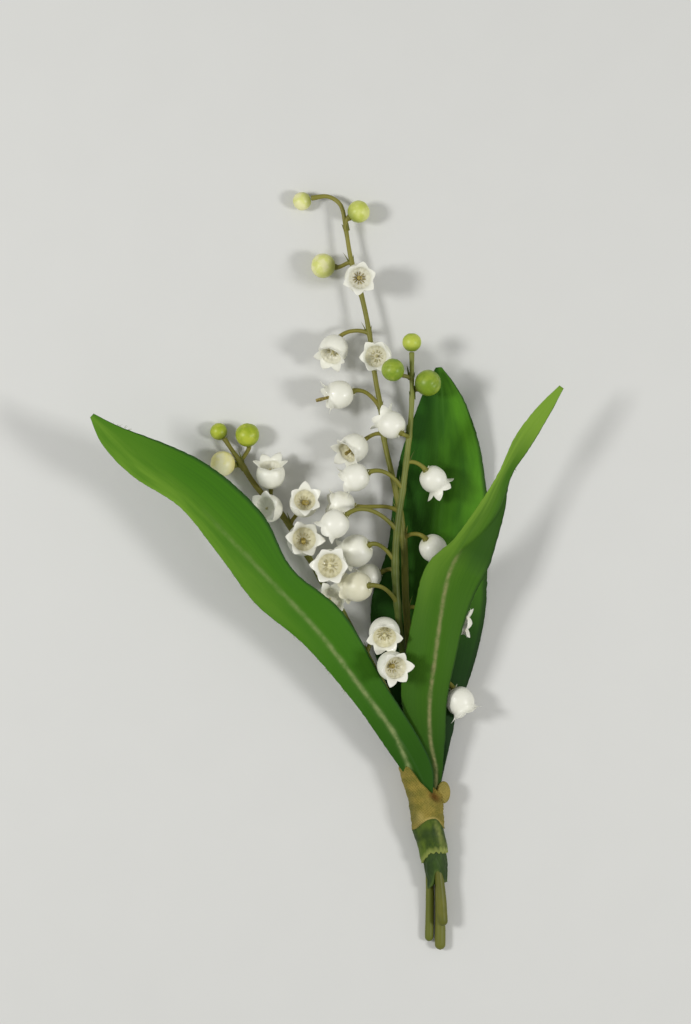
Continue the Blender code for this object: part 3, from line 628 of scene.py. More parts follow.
LEAF_COUNT = 150
LEAF_COLUMNS = 48
LEAF_THICKNESS = 0.42
VEINS = 9  # on each side of the midrib
VEIN_HEIGHT = 0.003
EDGE_TEAR = 0.16
EDGE_WAVE = 0.35
GROOVE = (0.28, 1.3)  # depth and half width of the midrib's groove
WIRE = (0.26, 0.42)  # height and half width of the wire in it
MARK_WAVER = 0.35  # how much the pale line's width varies
SHIFT_FADE = (0.1, 0.19)  # where along the leaf the line's shift fades out
LOWEST_TOP = 0.35
LOWEST_BOTTOM = 0.05
FOLD_DEPTH = 0.7
# Where the right leaf's fold starts and ends: how far along the leaf, and across it from -1 to 1. Past it the
# blade is sunk and painted in shade.
RIGHT_FOLD = ((0.56, -0.25), (0.8, 1.0))


def fold_share(along, share, fold):
    """How far a point lies past the fold, a slanting line across the leaf between two places along it."""
    start, end = fold
    t = (along - start[0]) / (end[0] - start[0])
    if not 0 < t < 1:
        return 0.0
    line = start[1] + (end[1] - start[1]) * t
    return float(np.clip((share - line) / 0.1, 0, 1)) * min(1.0, 5 * t, 8 * (1 - t))


def make_leaf(node, rows, materials, rib_reach, rib_width, frays, seed, fold=None, rib_shift=0.0):
    """A pressed fabric leaf over its CAD sheet, with veins, a wired midrib and a wavy, frayed edge. rib_reach
    says where along it the pale midrib starts to fade and where it ends, and rib_shift how far to the left
    of the middle it starts."""
    rows = smooth(rows, LEAF_COUNT)
    middles = rows[:, :3]
    ways = np.gradient(middles, axis=0)
    leftward = unit(np.column_stack([-ways[:, 1], ways[:, 0], np.zeros(LEAF_COUNT)]))
    shares = np.linspace(-1, 1, LEAF_COLUMNS + 1)
    sheet = np.zeros((LEAF_COUNT, LEAF_COLUMNS + 1, 3))
    rib = np.zeros(sheet.shape[:2])
    turned = np.zeros(sheet.shape[:2])
    for i, row in enumerate(rows):
        along = i / (LEAF_COUNT - 1)
        blade = min(1.0, 6 * along, 12 * (1 - along))
        fade = np.clip((rib_reach[1] - along) / (rib_reach[1] - rib_reach[0]), 0, 1) ** 0.7
        shift = rib_shift * np.clip((SHIFT_FADE[1] - along) / (SHIFT_FADE[1] - SHIFT_FADE[0]), 0, 1)
        for k, share in enumerate(shares):
            width, rise = (row[3], row[5]) if share < 0 else (row[4], row[6])
            from_rib = abs(share) * width
            tear = ripple(i * 0.9, k * 0.01 + copysign(3, share), seed) * EDGE_TEAR * blade * share**6
            wave = ripple(i, k * 0.7, seed + 5, 9.0) * EDGE_WAVE * blade
            lift = (rise + wave) * share * share + cos(tau * VEINS * share) * VEIN_HEIGHT * blade
            lift += blade * (WIRE[0] * swell(from_rib, WIRE[1]) - GROOVE[0] * swell(from_rib, GROOVE[1]))
            if fold:
                turned[i, k] = fold_share(along, share, fold)
                lift -= FOLD_DEPTH * turned[i, k]
            sheet[i, k] = middles[i] + leftward[i] * copysign(from_rib + tear, -share) + (0, 0, lift)
            waver = 1 + MARK_WAVER * ripple(i, share, seed + 9, 3.0)
            rib[i, k] = fade * swell(share * width + shift, rib_width * waver)
    normals = unit(np.cross(np.gradient(sheet, axis=1), np.gradient(sheet, axis=0)))
    thin = LEAF_THICKNESS / 2 * (1 - 0.5 * np.abs(shares) ** 8)[None, :, None]
    top = (sheet + normals * thin).reshape(-1, 3)
    bottom = (sheet - normals * thin).reshape(-1, 3)
    top[:, 2] = np.maximum(top[:, 2], LOWEST_TOP)
    bottom[:, 2] = np.maximum(bottom[:, 2], LOWEST_BOTTOM)
    along = np.repeat(np.linspace(0, 1, LEAF_COUNT), len(shares))
    # The fold value of each point is the mask of the painted shade past the fold.
    values = np.tile([np.tile(shares, LEAF_COUNT), along, rib.ravel(), turned.ravel()], 2)
    values = dict(zip(("across", "along", "rib", "fold"), values))
    mesh = Mesh()
    mesh.add(np.vstack([top, bottom]), sheet_faces(LEAF_COUNT, len(shares)), **values)
    for along, share, length in frays:
        add_fray(mesh, sheet, along, share, length)
    dress(mesh.build(node + "_cloth", materials), node)


THREADS = 5  # in each tuft
THREAD_RADII = (0.06, 0.0525, 0.045, 0.0375, 0.03)


def add_fray(mesh, sheet, along, share, length):
    """A tuft of loose threads at one place on the edge."""
    i = int(along * (LEAF_COUNT - 1))
    k = int((share + 1) / 2 * LEAF_COLUMNS)
    foot = sheet[i, k]
    outward = unit(foot - sheet[i, LEAF_COLUMNS // 2])
    run = unit(sheet[min(i + 1, LEAF_COUNT - 1), k] - sheet[max(i - 1, 0), k])
    for turn in random.uniform(-1, 1, THREADS):
        way = unit(outward + run * turn * 1.3 + (0, 0, random.uniform(0, 0.4)))
        start = foot + run * turn * 0.9 - outward * 0.15
        steps = np.linspace(0, length * random.uniform(0.4, 1.0), len(THREAD_RADII))
        bend = run * random.uniform(-0.3, 0.3)
        path = [start + way * step + bend * step * step for step in steps]
        mesh.add(*tube(path, THREAD_RADII, 5), slot=1)


def dress(obj, node):
    """The piece stands for its CAD node and moves with the body."""
    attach(obj, "root")
    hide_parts(node)


# Sprays

BELL_COLUMNS = 72
BODY_RINGS = 18
LOBE_RINGS = 8
THROAT_RINGS = 22
LOBES = 6
# Bells and buds are shaped in shares of the radius: distance from the axis and height above the crown.
BELL_OUTSIDE = (
    (0.0, 0.0), (0.3, 0.03), (0.56, 0.13), (0.8, 0.34), (0.94, 0.64), (1.0, 1.0), (0.95, 1.34), (0.82, 1.6),
)
LOBE_BEND = (0.84, 1.94)  # where the lobe's curve would corner
LOBE_ROOT = (0.84, 1.78)
LOBE_REACH = (0.56, 0.32)
LOBE_VARIETY = 0.28  # how much shorter a lobe can be
LOBE_POINT = 0.62  # from 0, a round lobe, to 1, one with straight sides
NOTCH_SHARE = 0.3  # how far along a lobe's curve the notches lie
BODY_RIBS = 0.02
CROWN_HEIGHT = 0.14
BELL_WALL = 0.09
THROAT = (
    (0.76, 1.62), (0.73, 1.5), (0.67, 1.42), (0.63, 1.33),
    (0.55, 1.26), (0.46, 1.19), (0.3, 1.13), (0.14, 1.1),
)
THROAT_PLEAT = 0.045
CROWN_SPIKES = 3
# Bristles: distance from the axis, height and thickness at their foot, middle and end.
STAMEN = ((0.22, 1.14, 0.02), (0.32, 1.19, 0.034), (0.44, 1.24, 0.024))
SPIKE = ((0.14, 0.02, 0.035), (0.26, -0.05, 0.03), (0.4, -0.14, 0.01))
STAMEN_TINT = 0.68
PISTIL_FOOT = 1.08
PISTIL_LENGTH = 0.34
PISTIL_LEAN = 0.06
PISTIL_RADII = (0.12, 0.11, 0.09, 0.085, 0.105, 0.09)
# How beige the throats are that aren't as beige as the others, and the body that isn't white: a slightly
# cream tone with painted shade from the bell above it.
PALE_THROATS = {
    "tall_bell_1": 0.25, "tall_bell_2": 0.4, "tall_bell_3": 0.6, "left_bell_1": 0.3, "left_bell_2": 0.1,
    "left_bell_6": 0.3, "left_bell_8": 0.75,
}
CREAM_AND_SHADED_BODIES = {"middle_bell_7": 0.75}
SHALLOW = ("left_bell_2", "left_bell_6")  # bells with half as deep a throat
BROWN_STAMENS = ("tall_bell_1",)
# Pistils that stand out: where the end leans, length and thickness, and colour from brown at 0 to pale at 1.
PISTILS = {
    "tall_bell_1": ((0.03, 0.0), 0.34, 1.7, 0.3),
    "tall_bell_4": ((0.0, 0.0), 1.6, 1.3, 0.0),
    "tall_bell_5": ((0.0, 0.0), 0.75, 1.3, 0.0),
    "left_bell_3": ((-0.2, 0.05), 0.36, 1.8, 0.3),
    "left_bell_4": ((-0.17, 0.11), 0.3, 1.5, 0.0),
    "left_bell_5": ((0.05, 0.0), 0.3, 0.9, 1.0),
    "left_bell_7": ((0.0, 0.0), 0.3, 0.8, 1.0),
    "left_bell_8": ((0.0, 0.25), 0.36, 1.6, 0.3),
}


def bell_points(lobe, turn, wobble, depth):
    """Rings of points from the crown, over the lobes and down the throat, each with how deep in the throat
    and how near the crown it lies. wobble shortens each lobe, and depth is a share of the usual throat."""
    angles = np.arange(BELL_COLUMNS) / BELL_COLUMNS * tau
    each = BELL_COLUMNS // LOBES
    number, column = np.divmod(np.arange(BELL_COLUMNS) + each // 2, each)
    offset = np.abs(column - each // 2) / (each / 2)
    length = 1 - LOBE_VARIETY * wobble[number % LOBES]
    shape = LOBE_POINT * (1 - offset) + (1 - LOBE_POINT) * (1 - offset**2)
    end = NOTCH_SHARE + (length - NOTCH_SHARE) * shape
    body = profile(BELL_OUTSIDE, BODY_RINGS)
    root = body[-1]
    tip = (LOBE_ROOT[0] + LOBE_REACH[0] * lobe, LOBE_ROOT[1] + LOBE_REACH[1] * lobe)
    rings = []
    for r, z in body:
        ribbed = 1 - BODY_RIBS * (z / root[1]) ** 3 * offset**2
        rings.append((r * ribbed, z, 0.0, max(0.0, 1 - z / CROWN_HEIGHT)))
    for share in np.linspace(0.12, 1, LOBE_RINGS):
        rings.append((*lobe_curve(root, tip, end * share, 0.0), 0.0, 0.0))
    for share in np.linspace(1, 0.1, LOBE_RINGS):
        rings.append((*lobe_curve(root, tip, end * share, BELL_WALL * (1.15 - share)), 0.0, 0.0))
    for k, (r, z) in enumerate(profile(THROAT, THROAT_RINGS)):
        pleats = 1 + THROAT_PLEAT * np.cos(2 * LOBES * angles) * min(1.0, k / 6)
        height = THROAT[0][1] + (z - THROAT[0][1]) * depth
        rings.append((r * pleats, height, min(1.0, 0.3 + k / 5), 0.0))
    around = angles + radians(turn)
    reach, height, throat, crown = zip(*rings)
    points = []
    for r, z in zip(reach, height):
        z = np.broadcast_to(z, BELL_COLUMNS)
        points.append(np.column_stack([r * np.cos(around), r * np.sin(around), z]))
    return np.vstack(points), np.repeat(throat, BELL_COLUMNS), np.repeat(crown, BELL_COLUMNS), len(rings)


def lobe_curve(root, tip, t, inset):
    """Radius and height at t along the curve on which a lobe turns out, moved inwards by inset."""
    points = list(zip(root, LOBE_BEND, tip))
    r, z = ((1 - t) ** 2 * a + 2 * t * (1 - t) * b + t * t * c for a, b, c in points)
    run = np.array([(1 - t) * (b - a) + t * (c - b) for a, b, c in points])
    run = run / np.linalg.norm(run, axis=0)
    return r - run[1] * inset, z + run[0] * inset


def add_bristles(mesh, count, turn, radius, shape, **look):
    """A ring of bristles round a bell's axis."""
    away, height, thickness = np.array(shape).T * radius
    for k in range(count):
        angle = radians(turn) + tau * (k + random.uniform(-0.2, 0.2)) / count
        path = np.column_stack([away * cos(angle), away * sin(angle), height])
        mesh.add(*tube(path, thickness, 6), **look)


def make_bell(node, radius, lobe, turn, crown, facing, materials):
    """One moulded bell with its six lobes, throat, stamens, pistil and the spikes on its crown."""
    mesh = Mesh()
    depth = 0.5 if node in SHALLOW else 1.0
    points, throat, near_crown, rings = bell_points(lobe, turn, random.uniform(0, 1, LOBES), depth)
    # The listed body takes the throat's beige all over: painted shade on a slightly cream tone.
    throat = np.maximum(throat * PALE_THROATS.get(node, 1.0), CREAM_AND_SHADED_BODIES.get(node, 0.0))
    floor = range((rings - 1) * BELL_COLUMNS, rings * BELL_COLUMNS)
    faces = [*grid_faces(rings, BELL_COLUMNS, True), tuple(floor)]
    mesh.add(points * radius, faces, throat=throat, crown=near_crown)
    tint = 0.0 if node in BROWN_STAMENS else STAMEN_TINT
    add_bristles(mesh, 2 * LOBES, turn, radius, STAMEN, slot=1, tint=tint)
    usual = (random.uniform(-PISTIL_LEAN, PISTIL_LEAN, 2), PISTIL_LENGTH, 1.0, tint)
    lean, length, thickness, tint = PISTILS.get(node, usual)
    t = np.linspace(0, 1, len(PISTIL_RADII))
    path = np.column_stack([lean[0] * t, lean[1] * t, PISTIL_FOOT + length * t])
    pistil = tube(path * radius, np.array(PISTIL_RADII) * radius * thickness, 12)
    mesh.add(*pistil, slot=1, tint=tint)
    add_bristles(mesh, CROWN_SPIKES, turn, radius, SPIKE, crown=0.6)
    seat(mesh, materials, node, crown, facing)


BUD_COLUMNS = 48
BUD_RINGS = 34
BUD_OUTSIDE = (
    (0.0, 0.0), (0.28, 0.03), (0.54, 0.13), (0.88, 0.5), (1.0, 1.02),
    (0.86, 1.52), (0.46, 1.86), (0.14, 1.93), (0.0, 1.86),
)
BUD_HEIGHT = 1.93
DIMPLE_HEIGHT = 1.85
SEAM_DEPTH = 0.05
SEAM_WIDTH = 0.16
SEAM_START = (1.1, 1.7)  # heights between which the seams deepen


def make_bud(node, radius, crown, facing, material):
    """A round bud: three seams run over its tip, where the closed lobes meet."""
    outline = profile(BUD_OUTSIDE, BUD_RINGS)[1:-1]
    angles = np.arange(BUD_COLUMNS) / BUD_COLUMNS * tau
    seam = swell(np.sin(LOBES / 4 * angles), SEAM_WIDTH)
    points = [(0.0, 0.0, 0.0)]
    along = [0.0]
    for r, z in outline:
        depth = SEAM_DEPTH * np.interp(z, SEAM_START, (0, 1))
        reach = r - seam * min(depth, 0.4 * r)
        points.extend(np.column_stack([reach * np.cos(angles), reach * np.sin(angles), z - seam * depth / 2]))
        along.extend([z / BUD_HEIGHT] * BUD_COLUMNS)
    points.append((0.0, 0.0, DIMPLE_HEIGHT))
    along.append(1.0)
    faces = grid_faces(len(outline), BUD_COLUMNS, True, first=1)
    last = len(points) - 1
    ring = last - BUD_COLUMNS
    for k in range(BUD_COLUMNS):
        after = (k + 1) % BUD_COLUMNS
        faces += [(0, 1 + after, 1 + k), (ring + k, ring + after, last)]
    mesh = Mesh()
    mesh.add(np.array(points) * radius, faces, along=along)
    seat(mesh, [material], node, crown, facing)


def seat(mesh, materials, node, crown, facing):
    """Builds a bloom with its crown in its place, turned the way it faces."""
    obj = mesh.build(node + "_moulding", materials)
    turn = Vector(facing).to_track_quat("Z", "Y").to_matrix().to_4x4()
    obj.data.transform(Matrix.Translation(Vector(crown) * MM) @ turn)
    dress(obj, node)


STALK_RADIUS = 0.55
STALK_FLARE = 1.35
STALK_LEAN = 0.8
STALK_BEND = 0.35
STALK_HOOK = 0.4
ROOT_SWELLING = 0.45
CUP_PLACES = (-0.8, -0.4, 0.1, 0.34)  # from the bloom's crown, along its axis
CUP_RADII = (0.62, 0.86, 0.98, 0.8)
CUP_ALONG = 0.2
GAP = 0.3  # between a stalk's end and the crown
BRACT_LENGTH = 3.4
BRACT_WIDTH = 1.4
BRACT_LEAN = 0.7
BRACT_CUP = 0.25
BRACT_THICKNESS = 0.14  # on each side
BRACT_ROWS = 9
BRACT_COLUMNS = 5
STEM_RIBS = 0.025
NODE_SWELLING = (0.16, 1.3)  # where a stalk leaves the stem: share of the radius and half width


def add_stalk(mesh, stem, ways, root_y, crown, facing):
    """A flower stalk, swollen at its root and at the cup that holds the bloom, and a bract on each side."""
    root_index = int(np.argmin(np.abs(stem[:, 1] - root_y)))
    root = stem[root_index]
    way = ways[root_index]
    end = crown - facing * GAP
    length = np.linalg.norm(end - root)
    outward = unit(unit(end - root) + way * STALK_LEAN)
    bends = (root, root + outward * length * STALK_BEND, end - facing * length * STALK_HOOK, end)
    t = np.linspace(0, 1, 22)
    weights = ((1 - t) ** 3, 3 * t * (1 - t) ** 2, 3 * t * t * (1 - t), t**3)
    path = sum(np.outer(weight, bend) for weight, bend in zip(weights, bends))
    radii = STALK_RADIUS * (1 + ROOT_SWELLING * np.exp(-t * 9) + (STALK_FLARE - 1) * t**6)
    share = root_index / len(stem)
    add_tube(mesh, path, radii, 14, (share, share))
    cup = [crown + facing * step for step in CUP_PLACES]
    add_tube(mesh, cup, CUP_RADII, 16, (CUP_ALONG, CUP_ALONG))
    side = unit(outward - way * outward.dot(way))
    add_bract(mesh, root + side * 0.5, unit(outward * 0.35 + way), outward, 1.0)
    add_bract(mesh, root - side * 0.35 + way * 0.6, unit(way - side * 0.25), -side, 0.5)


def add_tube(mesh, path, radii, sides, along, stalk=1.0, ribs=0.0):
    """A tube with the values that colour it. along holds the ones at its two ends."""
    points, faces = tube(path, radii, sides, ribs)
    rings = len(points) // sides
    around = np.tile(np.cos(np.arange(sides) / sides * tau), rings)
    mesh.add(points, faces, along=np.repeat(np.linspace(*along, rings), sides), around=around, stalk=stalk)


def add_bract(mesh, foot, way, outward, size):
    """A small cupped scale that ends in a point."""
    across = unit(np.cross(way, outward))
    up = np.cross(across, way)
    points = []
    for thickness in (BRACT_THICKNESS, -BRACT_THICKNESS):
        for t in np.linspace(0, 1, BRACT_ROWS):
            half = BRACT_WIDTH / 2 * size * (1 - t) ** 0.8 * (0.75 + 0.9 * t)
            middle = foot + (way * BRACT_LENGTH * t + outward * BRACT_LEAN * t * t) * size
            for s in np.linspace(-1, 1, BRACT_COLUMNS):
                points.append(middle + across * half * s + up * (1 - t) * (BRACT_CUP * s * s + thickness))
    mesh.add(points, sheet_faces(BRACT_ROWS, BRACT_COLUMNS), along=0.6, around=0.0)


def make_spray(name, stem_rows, bells, buds, bell_looks, bud_looks):
    """A stem with its flower stalks and bracts, and its blooms."""
    centre, facing, radius = (np.array(value, float) for value in buds[0][:3])
    tip = centre - unit(facing) * (radius + GAP)
    rows = blunt(smooth([*stem_rows, (*tip, STALK_RADIUS * STALK_FLARE)], 240))
    stem = rows[:, :3]
    ways = unit(np.gradient(stem, axis=0))
    radii = rows[:, 3] * (1 + 0.03 * np.array([ripple(k, 0, len(name), 5.0) for k in range(len(rows))]))
    for root_y in [bell[5] for bell in bells] + [bud[3] for bud in buds]:
        if root_y is not None:
            radii = radii * (1 + NODE_SWELLING[0] * swell(stem[:, 1] - root_y, NODE_SWELLING[1]))
    mesh = Mesh()
    add_tube(mesh, stem, radii, 24, (0, 1), stalk=0.0, ribs=STEM_RIBS)
    for k, (centre, facing, radius, lobe, turn, root_y) in enumerate(bells, 1):
        facing = unit(facing)
        crown = np.array(centre) - facing * radius
        make_bell(f"{name}_bell_{k}", radius, lobe, turn, crown, facing, bell_looks)
        add_stalk(mesh, stem, ways, root_y, crown, facing)
    for k, (centre, facing, radius, root_y, look) in enumerate(buds, 1):
        facing = unit(facing)
        crown = np.array(centre) - facing * radius
        make_bud(f"{name}_bud_{k}", radius, crown, facing, bud_looks[look])
        if root_y is not None:
            add_stalk(mesh, stem, ways, root_y, crown, facing)
    dress(mesh.build(name + "_stem_moulding", [stem_material(name)]), name + "_stem")


# Bound base

WRAP_COLUMNS = 120
WRAP_LOWEST = 0.02


def bundle_section(y, angle, inset):
    """A point on the rounded, flat-bottomed section of the wrapped bundle."""
    places, *columns = zip(*BUNDLE)
    middle, half_width, top = (np.interp(y, places, column) for column in columns)
    half_height = (top + FLAT_DEPTH - inset) / 2
    power = 2 / WRAP_SQUARENESS
    across, up = (copysign(abs(share) ** power, share) for share in (cos(angle), sin(angle)))
    z = top - inset - half_height + up * half_height
    return np.array((middle + across * (half_width - inset), y, max(z, 0.0)))


def make_wrap(node, foot, head, rings, inset, relief, marks, material, extra=None):
    """A length of wrapping between two edges. relief raises its surface, and marks gives the values that
    colour it."""
    points = []
    values = {}
    for share in np.linspace(0, 1, rings):
        for angle in np.arange(WRAP_COLUMNS) / WRAP_COLUMNS * tau:
            y = foot(angle) + (head(angle) - foot(angle)) * share
            point = bundle_section(y, angle, inset)
            outward = unit((cos(angle), 0, sin(angle)))
            point = point + outward * relief(*point[:2], angle, share)
            point[2] = max(point[2], WRAP_LOWEST)
            points.append(point)
            for key, value in marks(*point[:2], angle, share).items():
                values.setdefault(key, []).append(value)
    faces = grid_faces(rings, WRAP_COLUMNS, True)
    last = len(points) - WRAP_COLUMNS
    for loop in (range(WRAP_COLUMNS)[::-1], range(last, last + WRAP_COLUMNS)):
        faces += [(a, b, len(points)) for a, b in zip(loop, [*loop[1:], loop[0]])]
        points.append(sum(points[index] for index in loop) / WRAP_COLUMNS)
        for column in values.values():
            column.append(0.0)
    mesh = Mesh()
    mesh.add(points, faces, **values)
    if extra:
        extra(mesh)
    dress(mesh.build(node + "_wrap", [material]), node)


def hump(x, y, centre, size, edge=1.6):
    """1 in the middle of an oval and 0 outside it."""
    away = ((x - centre[0]) / size[0]) ** 2 + ((y - centre[1]) / size[1]) ** 2
    return exp(-(away**edge))


# Places on the wraps, seen from above: the middle and half the width and length.
OVAL = ((-1.4, 12.3), (2.3, 2.5))
TONGUE = ((-3.8, 8.6), (1.5, 2.1))
LAP = ((-8.2, 20.5), (2.4, 3.6))
GREEN_SIDE = ((-6.5, 10.0), (2.2, 7.0))
RUST_SPOT = ((-3.4, 6.6), (1.4, 0.9))
DARK_PATCH = ((-1.7, 4.2), (1.5, 1.9))
CREASE = (0.8, 14.5)
CREASE_SIZE = (2.1, 1.05)
CREASE_SLANT = radians(-32)
BAND = (3.0, 0.33, 0.9)  # the green tape's pale slanting band: its x at y = 1, slant and half width
HEM_WIDTH = 0.05  # of the pale threads at the sheath's foot, in shares of its length


def crease(x, y):
    """1 in the fold that slants down to the right below the tab, and 0 outside it."""
    run, rise = x - CREASE[0], y - CREASE[1]
    along = run * cos(CREASE_SLANT) + rise * sin(CREASE_SLANT)
    off = rise * cos(CREASE_SLANT) - run * sin(CREASE_SLANT)
    return hump(along, off, (0.0, 0.0), CREASE_SIZE)


def sheath_relief(x, y, angle, share):
    on_top = max(0.0, sin(angle))
    turns = sin(y * 0.9 + angle * 2.2) ** 8
    rise = 0.16 * turns + 0.16 * ripple(x, y, 3.0, 1.6) + 0.05 * ripple(x, y, 8.0, 0.5)
    rise += on_top * (0.42 * hump(x, y, *OVAL, 2.5) + 0.36 * hump(x, y, *TONGUE) - 0.55 * crease(x, y))
    rise += 0.55 * hump(x, y, *LAP) * (sin(angle) > -0.3)
    return rise + 0.18 * share**6 + 0.12 * (1 - share) ** 8 - 0.05


def sheath_marks(x, y, angle, share):
    on_top = max(0.0, sin(angle))
    hem = swell(share, HEM_WIDTH) * max(0.0, cos(angle - ARCH_PLACE))
    pale = on_top * max(0.05 * hump(x, y, *OVAL, 2.5), 0.75 * hump(x, y, *TONGUE), hem)
    green = 0.6 * hump(x, y, *GREEN_SIDE) + 0.4 * ripple(x, y, 31.0, 2.5)
    # Painted shade in the crease, with a faint brown spot.
    rust = min(1.0, on_top * (1.15 * crease(x, y) + 0.2 * hump(x, y, *RUST_SPOT)))
    return {"pale": pale, "rust": rust, "green": max(0.0, min(1.0, green))}


def sheath_foot(angle):
    return SHEATH_FOOT + SHEATH_ARCH * max(0.0, cos(angle - ARCH_PLACE)) ** 3


def sheath_head(angle):
    corner = SHEATH_CORNER * max(0.0, -cos(angle)) ** 2
    wander = 0.18 * ripple(angle * 3, 1, 4.0)
    over = SHEATH_LAP * swell(angle - LAP_PLACE, LAP_WIDTH)
    head = SHEATH_HEAD - SHEATH_SLANT * cos(angle) - SHEATH_DIP * sin(angle)
    return min(head + corner + over, SHEATH_TOP) + wander


def add_tab(mesh):
    """The small oval tab on the right of the sheath."""
    sides, rings = 32, 14
    points = []
    for lean in (np.arange(rings) + 0.5) / rings * pi:
        for angle in np.arange(sides) / sides * tau:
            shape = (sin(lean) * cos(angle), sin(lean) * sin(angle), -cos(lean))
            points.append(TAB_CENTRE + np.multiply(shape, TAB_SIZE) / 2)
    mesh.add(points, tube_faces(rings, sides), pale=0.35, rust=0.0, green=0.1)


def rags(angle, seed, size):
    """How far a torn edge hangs below its line."""
    return size * (ripple(angle * 6, 0, seed) + 0.4 * ripple(angle * 19, 0, seed + 2))


def tape_foot(angle):
    return TAPE_FOOT - TAPE_DROP * max(0.0, -cos(angle)) ** 1.5 + rags(angle, 6.0, 0.65)


def tape_head(angle):
    return sheath_foot(angle) + 0.3


def tape_relief(x, y, angle, share):
    turns = sin(y * 0.75 - angle + 0.8)
    return 0.1 * turns + 0.09 * ripple(x, y, 13.0, 1.2) + 0.16 * (1 - share) ** 6 - 0.12 * share**4


def tape_marks(x, y, angle, share):
    torn = max(0.0, 1 - share * 6) ** 0.7
    middle, slant, half = BAND
    band = swell(x - middle + slant * (y - 1.0), half) * max(0.0, sin(angle) + 0.3)
    band *= 0.7 + 0.5 * ripple(x, y, 5.0, 0.8)
    # The dark patch is the tape's own; the darkening towards the head is painted shade under the sheath's
    # edge.
    dark = 0.9 * hump(x, y, *DARK_PATCH) + 0.5 * share**6
    return {"pale": min(1.0, max(0.0, 0.8 * torn + 0.6 * band - dark)), "dark": min(1.0, dark)}


def dark_tape_foot(angle):
    """The edge, which lies higher where the middle stem comes out."""
    over_stem = swell(cos(angle), PORT_WIDTH) * (sin(angle) > 0)
    return DARK_TAPE_FOOT + STEM_PORT * over_stem + rags(angle, 21.0, 0.35) + cos(angle)


def dark_tape_head(angle):
    return tape_foot(angle) + 0.6


def dark_tape_relief(x, y, angle, share):
    folds = 0.1 * sin(angle * 9 + ripple(x, y, 2.0, 3.0) * 3)
    return folds + 0.07 * ripple(x, y, 17.0, 1.0) - 0.25 * (1 - share) ** 3


def dark_tape_marks(x, y, angle, share):
    # The darkening towards the head is painted shade under the green tape's torn edge.
    return {"pale": 0.5 * max(0.0, 1 - share * 8), "dark": 0.6 * share**4}


def make_wraps():
    cloth = sheath_material()
    make_wrap("sheath", sheath_foot, sheath_head, 56, 0.0, sheath_relief, sheath_marks, cloth, add_tab)
    green = tape_material("green_tape")
    make_wrap("green_tape", tape_foot, tape_head, 44, 0.0, tape_relief, tape_marks, green)
    dark = tape_material("dark_tape")
    make_wrap(
        "dark_tape", dark_tape_foot, dark_tape_head, 36, DARK_TAPE_INSET, dark_tape_relief,
        dark_tape_marks, dark,
    )


def make_bunch():
    thread = thread_material()
    cloth = leaf_material("left_leaf", (0.25, 0.9), -1.0, 0.2, 0.45)
    tufts = [(0.94, 1.0, 1.6), (0.955, 1.0, 1.2), (0.31, -1.0, 1.2), (0.36, -1.0, 1.0), (0.45, -1.0, 0.8)]
    tufts += [(along, -1.0, 0.5) for along in np.linspace(0.28, 0.86, 34)]
    make_leaf("left_leaf", LEFT_LEAF, [cloth, thread], (0.28, 0.74), 0.62, tufts, 1.0, rib_shift=1.9)
    cloth = leaf_material("right_leaf", (0.35, 0.8), -1.0, 0.9, 0.38)
    tufts = ((0.8, 1.0, 1.2), (0.99, 0.5, 1.0), (0.99, -0.5, 1.0))
    make_leaf("right_leaf", RIGHT_LEAF, [cloth, thread], (0.54, 0.6), 0.48, tufts, 2.0, RIGHT_FOLD)
    cloth = leaf_material("back_leaf", (0.3, 0.6), 1.0, 0.0, 0.62)
    make_leaf("back_leaf", BACK_LEAF, [cloth, thread], (0.1, 0.4), 0.4, (), 3.0)

    bell_looks = [bell_material(), style_material()]
    bud_looks = {name: bud_material(name) for name in BUD_COLOURS}
    make_spray("tall", TALL_STEM, TALL_BELLS, TALL_BUDS, bell_looks, bud_looks)
    make_spray("middle", MIDDLE_STEM, MIDDLE_BELLS, MIDDLE_BUDS, bell_looks, bud_looks)
    make_spray("left", LEFT_STEM, LEFT_BELLS, LEFT_BUDS, bell_looks, bud_looks)
    make_wraps()


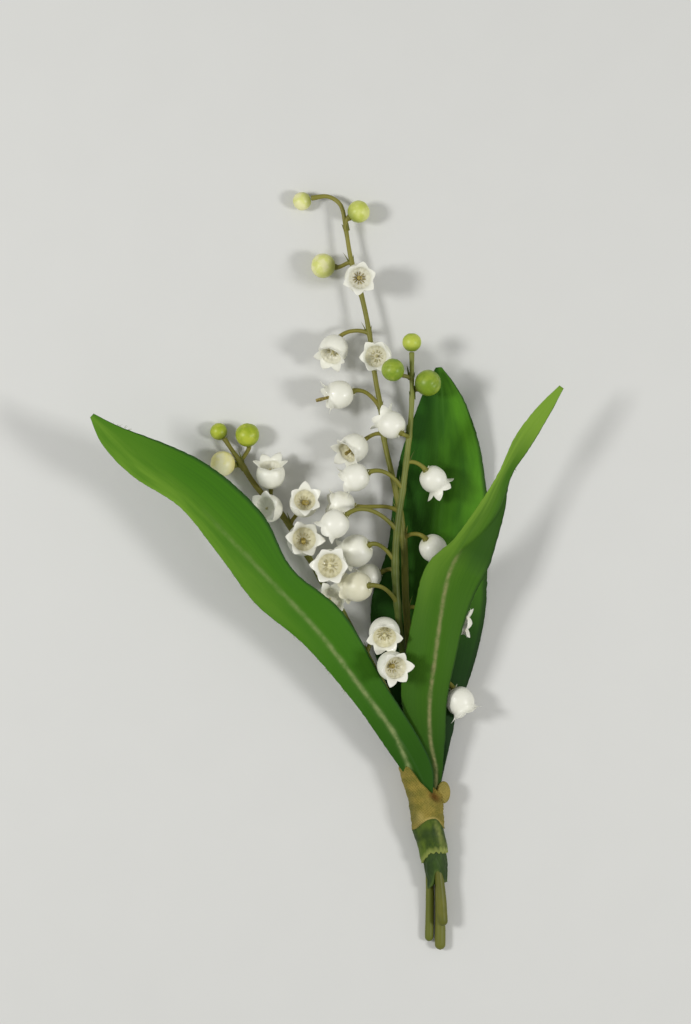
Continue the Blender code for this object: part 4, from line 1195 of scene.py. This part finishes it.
# Stage

CAMERA_PLACE = (-0.02422, 0.09352, 0.7)
SENSOR = 36.0
PHOTO_HEIGHT = 1024
PIXEL = 0.28 * MM  # on the surface
HALF_FLOOR = 2.0
# Place, size and power of the lights.
LEFT_LIGHT = ((-0.6, 0.15, 0.66), 0.17, 3.45)
RIGHT_LIGHT = ((0.6, 0.0, 0.62), 0.17, 2.95)
SKY = 0.38


def make_floor():
    corners = [(x * HALF_FLOOR, y * HALF_FLOOR, 0) for x, y in ((-1, -1), (1, -1), (1, 1), (-1, 1))]
    mesh = bpy.data.meshes.new("floor")
    mesh.from_pydata(corners, [], [(0, 1, 2, 3)])
    look = Shader("floor_pale", Roughness=0.8)
    grain = look.noise(look.place(), 60.0, 4.0)
    colour = look.mix(grain, rgb(214, 214, 210), rgb(217, 217, 213))
    mesh.materials.append(look.paint(colour, grain, 0.0001))
    floor = add_object("floor", mesh)


def make_light(name, place, size, power):
    """A square light that shines on the middle of the view."""
    data = bpy.data.lights.new(name, "AREA")
    data.size = size
    data.energy = power
    light = add_object(name, data)
    light.location = place
    aim = Vector((*CAMERA_PLACE[:2], 0)) - Vector(place)
    light.rotation_euler = aim.to_track_quat("-Z", "Y").to_euler()


def make_stage():
    """The surface, the lights, the sky and a camera that looks straight down."""
    make_floor()
    make_light("left_light", *LEFT_LIGHT)
    make_light("right_light", *RIGHT_LIGHT)
    world = bpy.data.worlds.new("sky")
    world.use_nodes = True
    background = world.node_tree.nodes["Background"]
    background.inputs["Color"].default_value = (1.0, 1.0, 0.99, 1.0)
    background.inputs["Strength"].default_value = SKY
    bpy.context.scene.world = world
    bpy.context.scene.view_settings.view_transform = "Standard"
    data = bpy.data.cameras.new("camera")
    data.sensor_fit = "VERTICAL"
    data.sensor_height = SENSOR
    data.lens = SENSOR * CAMERA_PLACE[2] / (PHOTO_HEIGHT * PIXEL)
    camera = add_object("camera", data)
    camera.location = CAMERA_PLACE
    bpy.context.scene.camera = camera


make_bunch()
make_stage()
